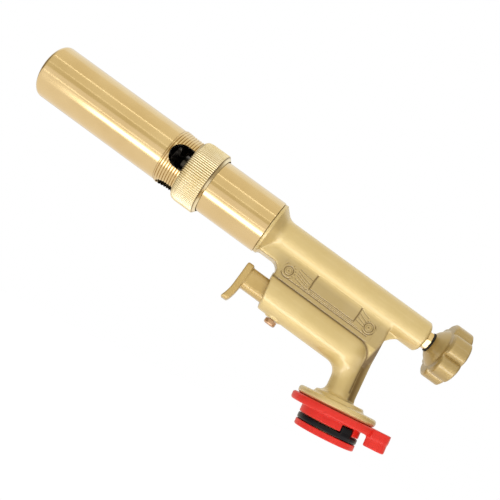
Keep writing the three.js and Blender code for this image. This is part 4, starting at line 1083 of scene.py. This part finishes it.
def makeGland():
    g = gland
    start, end = span("gland_nut")
    end += closing
    headStart, corner = end - g["head"], g["flats"] / 2 + g["corners"]
    profile = rounded([
        (start, g["bore"], 0.2), (start, g["shank"], 0.3), (headStart, g["shank"], 0.1),
        (headStart, corner, 0.1), (end, corner, 0.1), (end, g["bore"], 0.25)], hold=0.08)
    turn = np.linspace(0, fullTurn, g["sides"], endpoint=False)[None, :]
    x, r = profile[:, :1], profile[:, 1:]
    # Beyond the shank's radius the bar is a hexagon, and its corners fall away towards both faces
    turned = g["flats"] / 2 + g["chamfer"] + np.minimum(x - headStart, end - x) * g["slope"]
    limit = np.minimum(hexagonRadius(turn, g["flats"]), turned)
    r = np.where((x >= headStart) & (r > g["shank"]), np.minimum(r, limit), r + 0 * turn)
    points = barrelPlace(x + 0 * turn, r * np.sin(turn), valveRise + r * np.cos(turn))
    addPiece("gland_nut_hexagon", "gland_nut", (points, gridQuads(*points.shape[:2], True, True)), 25)
    profile = tubeProfile(*span("spindle_washer"), g["washer"], g["bore"], g["washerRound"])
    addPiece("spindle_washer_moulded", "spindle_washer", lathe(profile, 80, valveRise))


# Control knob: a flared hub, then six broad lobes with valleys between them, one valley near the side.
# Corners of the hub and of the lobes' front are steps along and outwards, or inwards, with a fillet
knob = dict(radius=12.5, lobes=6, groove=2.3, hub=4.4,
            hubSteps=[(0, 0, 0.3), (1.1, 1.6, 1.0), (2.7, 3.3, 2.0)], shoulder=9.2, shoulderStep=0.5,
            lobeSteps=[(0.1, 1.2, 0.4), (0.9, 0.0, 0.8)], hubLength=3.9, tail=1.0, recess=2.9, recessDepth=2.9,
            dish=2.6, dishFloor=2.1, dishDepth=0.35, bore=2.1, turn=13.0, perLobe=32, faceBack=0.2,
            faceRound=1.3)


def makeKnob():
    k = knob
    front, rear = span("control_knob")
    front -= closing
    lobesStart, lobesEnd, face = front + k["hubLength"], rear - k["tail"], rear - k["faceBack"]
    floor, screwSeat = face - k["dishDepth"], rear - k["recessDepth"]
    profile = rounded([
        (front, k["bore"], 0.1), *((front + a, k["hub"] + out, fillet) for a, out, fillet in k["hubSteps"]),
        (lobesStart - 0.1, k["shoulder"] - k["shoulderStep"], 0.3),
        *((lobesStart + a, k["radius"] - inwards, fillet) for a, inwards, fillet in k["lobeSteps"]),
        (lobesEnd, k["radius"], 0.6), (face, k["radius"] - k["faceRound"], 0.6),
        (face, k["recess"] + k["dish"], 0.4), (floor, k["recess"] + k["dishFloor"], 0.4),
        (floor, k["recess"], 0.2), (screwSeat, k["recess"], 0.15), (screwSeat, k["bore"], 0.1)], stepTurn=10)
    turn = np.linspace(0, fullTurn, k["lobes"] * k["perLobe"], endpoint=False)[None, :]
    # Valley: deepest half-way between two lobes, (1 - distance from it) cubed, only beyond the shoulder
    valley = (1 - np.abs(((turn / fullTurn * k["lobes"]) % 1) - 0.5) * 2) ** 3
    reach = partWay(profile[:, 1:], k["shoulder"], k["radius"] - k["shoulder"])
    r = profile[:, 1:] - k["groove"] * valley * reach
    where = turn + math.radians(k["turn"])
    points = barrelPlace(profile[:, :1] + 0 * turn, r * np.sin(where), valveRise - r * np.cos(where))
    addPiece("control_knob_cast", "control_knob", (points, gridQuads(len(profile), turn.size, True, True)), 32)


# Cheese-head screws with a slot: radii of shank and head, the head's length, the slot's turn
igniterScrew = dict(shank=1.1, head=2.5, headLength=2.1, slotTurn=0.25)
knobScrew = dict(shank=0.95, head=2.4, headLength=1.9, slotTurn=0.4)
connectorScrew = dict(shank=0.8, head=1.5, headLength=0.75, slotTurn=0.5)
# Shares of the head's length, but the slot's width is one of its diameter
screwSlot = dict(depth=0.45, width=0.16, round=0.35, sides=48)


# A screw about any axis, from its foot: profile carried round, then the slot milled across
def slottedScrew(node, foot, axis, length, size, turned=0.0):
    axis = np.asarray(axis, float)
    side, other = squareTo(axis)
    shank, head, headLength = size["shank"], size["head"], size["headLength"]
    shankEnd = length - headLength
    end = shankEnd + headLength
    profile = rounded([
        (0, 0), (0, shank, 0.15), (shankEnd, shank, 0.1), (shankEnd, head, 0.15),
        (end, head, screwSlot["round"] * headLength), (end, 0)], closed=False)
    turn = np.linspace(0, fullTurn, screwSlot["sides"], endpoint=False)
    x, r = profile[:, :1, None], profile[:, 1:2, None]
    circle = np.cos(turn)[None, :, None] * side + np.sin(turn)[None, :, None] * other
    points = foot + mm * (x * axis + r * circle)
    slotTurn = size["slotTurn"] + turned
    slotWay = side * math.cos(slotTurn) + other * math.sin(slotTurn)
    half = np.array([screwSlot["depth"] * headLength, 2 * head, screwSlot["width"] * head])
    slot = blockBit(foot + axis * end * mm, half, (axis, slotWay, np.cross(axis, slotWay)))
    grid = (points, gridQuads(len(profile), screwSlot["sides"], False, True))
    addPiece(node + "_slotted", node, drilled(joined(node + "_slotted", grid), slot), 35)


connectorScrews = ["connector_screw_%d" % (k + 1) for k in range(3)]


def middleOf(node):
    points = nodePoints(node)
    return (points.min(0) + points.max(0)) / 2


def makeScrews():
    front, rear = span("igniter_screw")
    height = (nodePoints("igniter_screw") - seam) @ above / mm
    slottedScrew("igniter_screw", barrelPlace((front + rear) / 2, 0.0, height.max()), -above,
                 height.max() - height.min(), igniterScrew)
    front, rear = span("knob_screw")
    slottedScrew("knob_screw", barrelPlace(front, 0.0, valveRise), along, rear - front, knobScrew)
    for k, node in enumerate(connectorScrews):
        low, high = levels(node)
        foot = np.array([*middleOf(node)[:2], high * mm])
        slottedScrew(node, foot, (0, 0, -1), high - low, connectorScrew, k)


# Trigger, in the barrel frame: a thumb pad whose foot sweeps forward, on a stem with rounded corners
trigger = dict(front=1.7, thick=3.2, width=9.4, top=16.7, bottom=34.5, padCorner=1.6, sweep=1.3,
               sweepHeight=7.0, stemHeight=9.8, stemWidth=8.4, stemCorner=3.2, stemEnd=15.4, stemRoot=1.5,
               stemBore=3.7, drop=22.2, dish=0.35, dishMiddle=25.5, dishHalf=9, step=0.3)


def triggerField(x, y, z):
    t = trigger
    bent = t["sweep"] * np.clip((-z - (t["bottom"] - t["sweepHeight"])) / t["sweepHeight"], 0, 1) ** 2
    dish = t["dish"] * np.clip(1 - (y / t["width"] * 2) ** 2, 0, 1)
    dish = dish * np.clip(1 - ((z + t["dishMiddle"]) / t["dishHalf"]) ** 2, 0, 1)
    middle = x + bent - t["front"] - t["thick"] / 2
    plate = trim(middle - t["thick"] / 2, -middle - t["thick"] / 2 + dish, 0.9)
    corner, half, centre = t["padCorner"], (t["bottom"] - t["top"]) / 2, -(t["bottom"] + t["top"]) / 2
    outline = cornered(np.abs(z - centre) - half + corner, np.abs(y) - t["width"] / 2 + corner) - corner
    pad = trim(plate, outline, 1.0)
    corner = t["stemCorner"]
    box = cornered(np.abs(z + t["drop"]) - t["stemHeight"] / 2 + corner,
                   np.abs(y) - t["stemWidth"] / 2 + corner)
    stem = trim(trim(box - corner, x - t["stemEnd"], 0.4), t["front"] + t["stemRoot"] - x, 0.3)
    bore = trim(np.hypot(y, z + casting["housingDrop"]) - t["stemBore"], t["front"] + t["thick"] - x, 0.3)
    return trim(meet(pad, stem, 0.7), -bore, 0.3)


def makeTrigger():
    t = trigger
    low = (t["front"] - t["sweep"] - 1, -t["width"] / 2 - 1, -t["bottom"] - 1)
    high = (t["stemEnd"] + 1, t["width"] / 2 + 1, -t["top"] + 1)
    addSkin("trigger_cast", "trigger", triggerField, low, high, t["step"], barrelPlace, 50)


# Igniter's spring: one wire wound as a helix, fixed at its rear end
spring = dict(radius=1.7, wire=0.27, turns=9, perTurn=24, sides=10)


def makeSpring():
    front, rear = span("igniter_spring")
    start, end, wire = front + spring["wire"], rear - spring["wire"], spring["wire"]
    done = np.linspace(0, 1, spring["turns"] * spring["perTurn"] + 1)[:, None]
    turn = fullTurn * spring["turns"] * done
    around = np.linspace(0, fullTurn, spring["sides"], endpoint=False)[None, :]
    # Section: a circle in the plane of the wire's outward and lengthwise directions, shrunk to a point at
    # both ends
    size = wire * np.pad(np.ones(len(done)), 1)[:, None]
    turn, done = (np.pad(values, ((1, 1), (0, 0)), "edge") for values in (turn, done))
    r = spring["radius"] + size * np.cos(around)
    points = barrelPlace(start + (end - start) * done + size * np.sin(around), r * np.cos(turn),
                         r * np.sin(turn) - casting["housingDrop"])
    shape = (points, gridQuads(*points.shape[:2], False, True))
    piece = addPiece("igniter_spring_wound", "igniter_spring", shape, 60)
    anchor = barrelPlace(rear, 0.0, -casting["housingDrop"])
    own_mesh(piece)


makeGland()
makeKnob()
makeScrews()
makeTrigger()
makeSpring()
print("controls made")


# Connector, in the seat frame: disc, black ring with its tooth, red ring with its skirt and lever
connector = dict(disc=12.5, discBore=6.6, screwHole=1.1, headHole=1.8, headDepth=1.2, spigot=9.5, flange=17.9,
                 bottom=8.4, top=11.6, skirtBottom=5.2, reach=23.3, lipStart=15.3, width=9.6, lip=7.3,
                 corner=1.8, turn=-20.0, tooth=-65.0, toothWidth=5.2, toothStart=5.0, toothLow=3.5,
                 toothTop=7.7, notchTop=8.0, notchOver=0.6, ringMiddle=3.8, ringHalf=1.1, step=0.32)
inlet = dict(bore=0.7, pin=1.7, collar=4.8, collarLow=7.6, collarHigh=9.2, shank=3.0, seal=3.3, sealBore=2.0,
             sealRound=0.4)


def turnedAbout(x, y, degrees):
    turn = math.radians(degrees)
    return x * math.cos(turn) + y * math.sin(turn), y * math.cos(turn) - x * math.sin(turn)


def lockField(x, y, z):
    c = connector
    r = np.hypot(x, y)
    u, v = turnedAbout(x, y, c["turn"])
    thick = slab(z, c["bottom"], c["top"])
    flange = trim(r - c["flange"], thick, 1.1)
    skirt = trim(trim(r - c["disc"], z - c["top"] + 1, 0.3), c["skirtBottom"] - z, 0.4)
    sides = trim(np.abs(v) - c["width"] / 2, u - c["reach"], 2 * c["corner"])
    tab = trim(trim(sides, thick, 0.6), c["disc"] - u, 0.3)
    lip = trim(trim(sides, np.abs(z - c["top"] + c["lip"] / 2) - c["lip"] / 2, 0.6), c["lipStart"] - u, 0.6)
    body = meet(meet(flange, skirt, 0.35), meet(tab, lip, 0.9), 0.9)
    # The tooth of the black ring reaches through a notch
    s, t = turnedAbout(x, y, c["tooth"])
    notch = trim(np.abs(t) - c["toothWidth"] / 2 - clearance, z - c["notchTop"], 0.3)
    notch = trim(trim(notch, c["toothStart"] - s, 0.1), r - c["disc"] - c["notchOver"], 0.1)
    body = trim(body, -notch, 0.35)
    # The top stays flat under the casting's plate, also where the lever runs into the flange
    return trim(trim(body, c["spigot"] + clearance - r, 0.4), z - c["top"], 0.1)


def bayonetField(x, y, z):
    c = connector
    r = np.hypot(x, y)
    ring = trim(r - c["disc"], np.abs(z - c["ringMiddle"]) - c["ringHalf"], 0.5)
    s, t = turnedAbout(x, y, c["tooth"])
    tooth = trim(trim(r - c["disc"], np.abs(t) - c["toothWidth"] / 2, 0.4),
                 trim(z - c["toothTop"], c["toothLow"] - z, 0.1), 0.5)
    tooth = trim(tooth, c["toothStart"] - s, 0.1)
    return trim(meet(ring, tooth, 0.35), c["spigot"] + clearance - r, 0.4)


def makeConnector():
    c = connector
    for node, field, left, right in (("lock_ring", lockField, c["flange"] + 1, c["reach"] + 1),
                                     ("bayonet_ring", bayonetField, c["disc"] + 1, c["disc"] + 1)):
        low, high = levels(node)
        addSkin(node + "_moulded", node, field, (-left, -left, low - 1), (right, left, high + 1), c["step"],
                seatPlace, 40)
    low, high = levels("base_disc")
    disc = rounded([(low, c["discBore"], 0.3), (low, c["disc"], 0.5), (high, c["disc"], 0.25),
                    (high, c["discBore"], 0.2)])
    up, bits = np.array([0, 0, mm]), []
    for node in connectorScrews:
        foot = middleOf(node) * (1, 1, 0)
        bits.append(drillBit(foot - up * beyond, foot + up * (high + beyond), c["screwHole"], 24))
        bits.append(drillBit(foot - up * beyond, foot + up * c["headDepth"], c["headHole"], 32))
    addPiece("base_disc_moulded", "base_disc", drilled(joined("base_disc", latheUp(disc, 160)), *bits))
    i = inlet
    low, high = levels("inlet_stem")
    stem = rounded([
        (low, i["bore"], 0.1), (low, i["pin"], 0.35), (i["collarLow"], i["pin"], 0.1),
        (i["collarLow"], i["collar"], 0.2), (i["collarHigh"], i["collar"], 0.2),
        (i["collarHigh"], i["shank"], 0.1), (high, i["shank"], 0.2), (high, i["bore"], 0.1)])
    addPiece("inlet_stem_turned", "inlet_stem", latheUp(stem, 64))
    seal = tubeProfile(*levels("inlet_seal"), i["seal"], i["sealBore"], i["sealRound"])
    addPiece("inlet_seal_moulded", "inlet_seal", latheUp(seal, 64))


makeConnector()
print("connector made")

# Studio: a white room that lights everything evenly. Metal sees it in these tones, by the direction's turn
# about the burner's axis: olive high over the burner, warm brown under it, and darker towards both ends
bpy.context.scene.view_settings.view_transform = "Standard"
room = dict(fill=0.85, tailStart=0.5, tailEnd=0.78, tailTone="#a8977a", frontStart=0.7, frontEnd=1.0,
            frontTone="#8a7c66")
bands = [(-180, "#cfc8bb"), (-60, "#dfc29c"), (-22, "#ece0c4"), (-12, "#dfd2b2"), (34, "#e2d5b6"),
         (46, "#f0e3c6"), (90, "#f6ead0"), (100, "#fffaf0"), (130, "#fffaf0"), (180, "#cfc8bb")]


def makeRoom():
    world = bpy.data.worlds.new("studio")
    bpy.context.scene.world = world
    world.use_nodes = True
    tree = world.node_tree
    tree.nodes.clear()
    looking = addNode(tree, "ShaderNodeTexCoord").outputs["Generated"]
    dots = [addNode(tree, "ShaderNodeVectorMath", {0: looking, 1: way.tolist()}, operation="DOT_PRODUCT")
            for way in (above, -across, along)]
    upwards, forwards, tailwards = (dot.outputs["Value"] for dot in dots)
    turned = addNode(tree, "ShaderNodeMath", {0: upwards, 1: forwards}, operation="ARCTAN2")
    band = addNode(tree, "ShaderNodeMath", {0: turned, 1: 1 / fullTurn, 2: 0.5}, operation="MULTIPLY_ADD")
    ramp = addNode(tree, "ShaderNodeValToRGB", {"Fac": band})
    stops = ramp.color_ramp.elements
    stops.remove(stops[1])
    stops[0].position, stops[0].color = 0.0, hexColour(bands[0][1])
    for turn, code in bands[1:]:
        stops.new(turn / 360 + 0.5).color = hexColour(code)
    noseWards = addNode(tree, "ShaderNodeMath", {0: tailwards, 1: -1.0}, operation="MULTIPLY")
    colour = ramp
    for end, facing in (("tail", tailwards), ("front", noseWards)):
        amount = addNode(tree, "ShaderNodeMapRange",
                         {"Value": facing, "From Min": room[end + "Start"], "From Max": room[end + "End"]},
                         interpolation_type="SMOOTHSTEP")
        colour = addNode(tree, "ShaderNodeMix", {"Factor": amount, "A": colour,
                                                 "B": hexColour(room[end + "Tone"])},
                         data_type="RGBA").outputs["Result"]
    # Camera and clear things see plain white, metal sees the tones, and all else is lit by an even fill
    rays = addNode(tree, "ShaderNodeLightPath").outputs
    seen, fill, sheen = (addNode(tree, "ShaderNodeBackground", {"Color": tone, "Strength": strength})
                         for tone, strength in (((1, 1, 1, 1), 1.0), ((1, 1, 1, 1), room["fill"]),
                                                (colour, 1.0)))
    inMetal = addNode(tree, "ShaderNodeMixShader", {0: rays["Is Glossy Ray"], 1: fill, 2: sheen})
    direct = addNode(tree, "ShaderNodeMath", {0: rays["Is Camera Ray"], 1: rays["Is Transmission Ray"]},
                     operation="MAXIMUM")
    mixed = addNode(tree, "ShaderNodeMixShader", {0: direct, 1: inMetal, 2: seen})
    addNode(tree, "ShaderNodeOutputWorld", {"Surface": mixed})


# Strip lamps parallel to the burner: turn about its axis from the front, upwards positive, then distance,
# length and width in millimetres, brightness, and shift towards the tail
lamps = dict(key=(25, 650, 800, 420, 0.14, 0), lowWide=(-49, 520, 900, 240, 0.35, 120),
             lowSoft=(-50, 520, 900, 135, 2.25, 160), lineStrong=(-29.5, 600, 1200, 16, 1.6, 0),
             lineFaint=(9, 600, 1200, 14, 0.7, 0), lineTop=(41, 600, 1200, 16, 1.6, 0))


def makeLamps():
    for name, (turn, distance, length, width, brightness, shift) in lamps.items():
        lamp = bpy.data.lights.new(name, "AREA")
        lamp.shape = "RECTANGLE"
        lamp.size, lamp.size_y = length * mm, width * mm
        lamp.energy = brightness * math.pi * length * width * mm * mm
        thing = bpy.data.objects.new(name, lamp)
        bpy.context.scene.collection.objects.link(thing)
        way = -across * math.cos(math.radians(turn)) + above * math.sin(math.radians(turn))
        place = seam + along * shift * mm + way * distance * mm
        x, z = Vector(along), Vector(way)
        turnMatrix = Matrix((x, z.cross(x), z)).transposed().to_4x4()
        thing.matrix_world = Matrix.Translation(Vector(place)) @ turnMatrix


# Floor: plain and pale, white to the camera and in metal where no shadow falls on it; in metres
paperFloor = dict(size=6.0, level=-0.5, shade=0.9, glow=0.8, glowStrength=1.11, inMetal="#f6e9d6")


def makeFloor():
    size, level, shade = paperFloor["size"], paperFloor["level"], paperFloor["shade"]
    points = np.array([(-size, -size, level), (size, -size, level), (size, size, level), (-size, size, level)])
    floor = bpy.data.objects.new("floor", meshFrom("floor", points, np.array([[0, 1, 2, 3]])))
    bpy.context.scene.collection.objects.link(floor)
    material, tree = newMaterial("white_paper_floor")
    rays = addNode(tree, "ShaderNodeLightPath").outputs
    glowing = rays["Is Camera Ray"]
    for other, operation in ((rays["Is Glossy Ray"], "MAXIMUM"), (rays["Is Transmission Ray"], "MAXIMUM"),
                             (paperFloor["glow"], "MULTIPLY")):
        glowing = addNode(tree, "ShaderNodeMath", {0: glowing, 1: other}, operation=operation)
    paper = addNode(tree, "ShaderNodeBsdfDiffuse", {"Color": (shade, shade, shade, 1)})
    # Metal sees the white paper a little warmer than the camera does
    tone = addNode(tree, "ShaderNodeMix", {"Factor": rays["Is Glossy Ray"], "A": hexColour("#ffffff"),
                                           "B": hexColour(paperFloor["inMetal"])}, data_type="RGBA")
    light = addNode(tree, "ShaderNodeEmission",
                    {"Color": tone.outputs["Result"], "Strength": paperFloor["glowStrength"]})
    floor.data.materials.append(surfaced(material, {0: glowing, 1: paper, 2: light}, "ShaderNodeMixShader"))


makeRoom()
makeLamps()
makeFloor()
print("studio made:", len(lamps), "lamps")

# Pieces that keep their CAD shape get their finish here
for node, thing in frame["nodes"].items():
    thing.data.materials.clear()
    thing.data.materials.append(finishes[slotOf[node]])
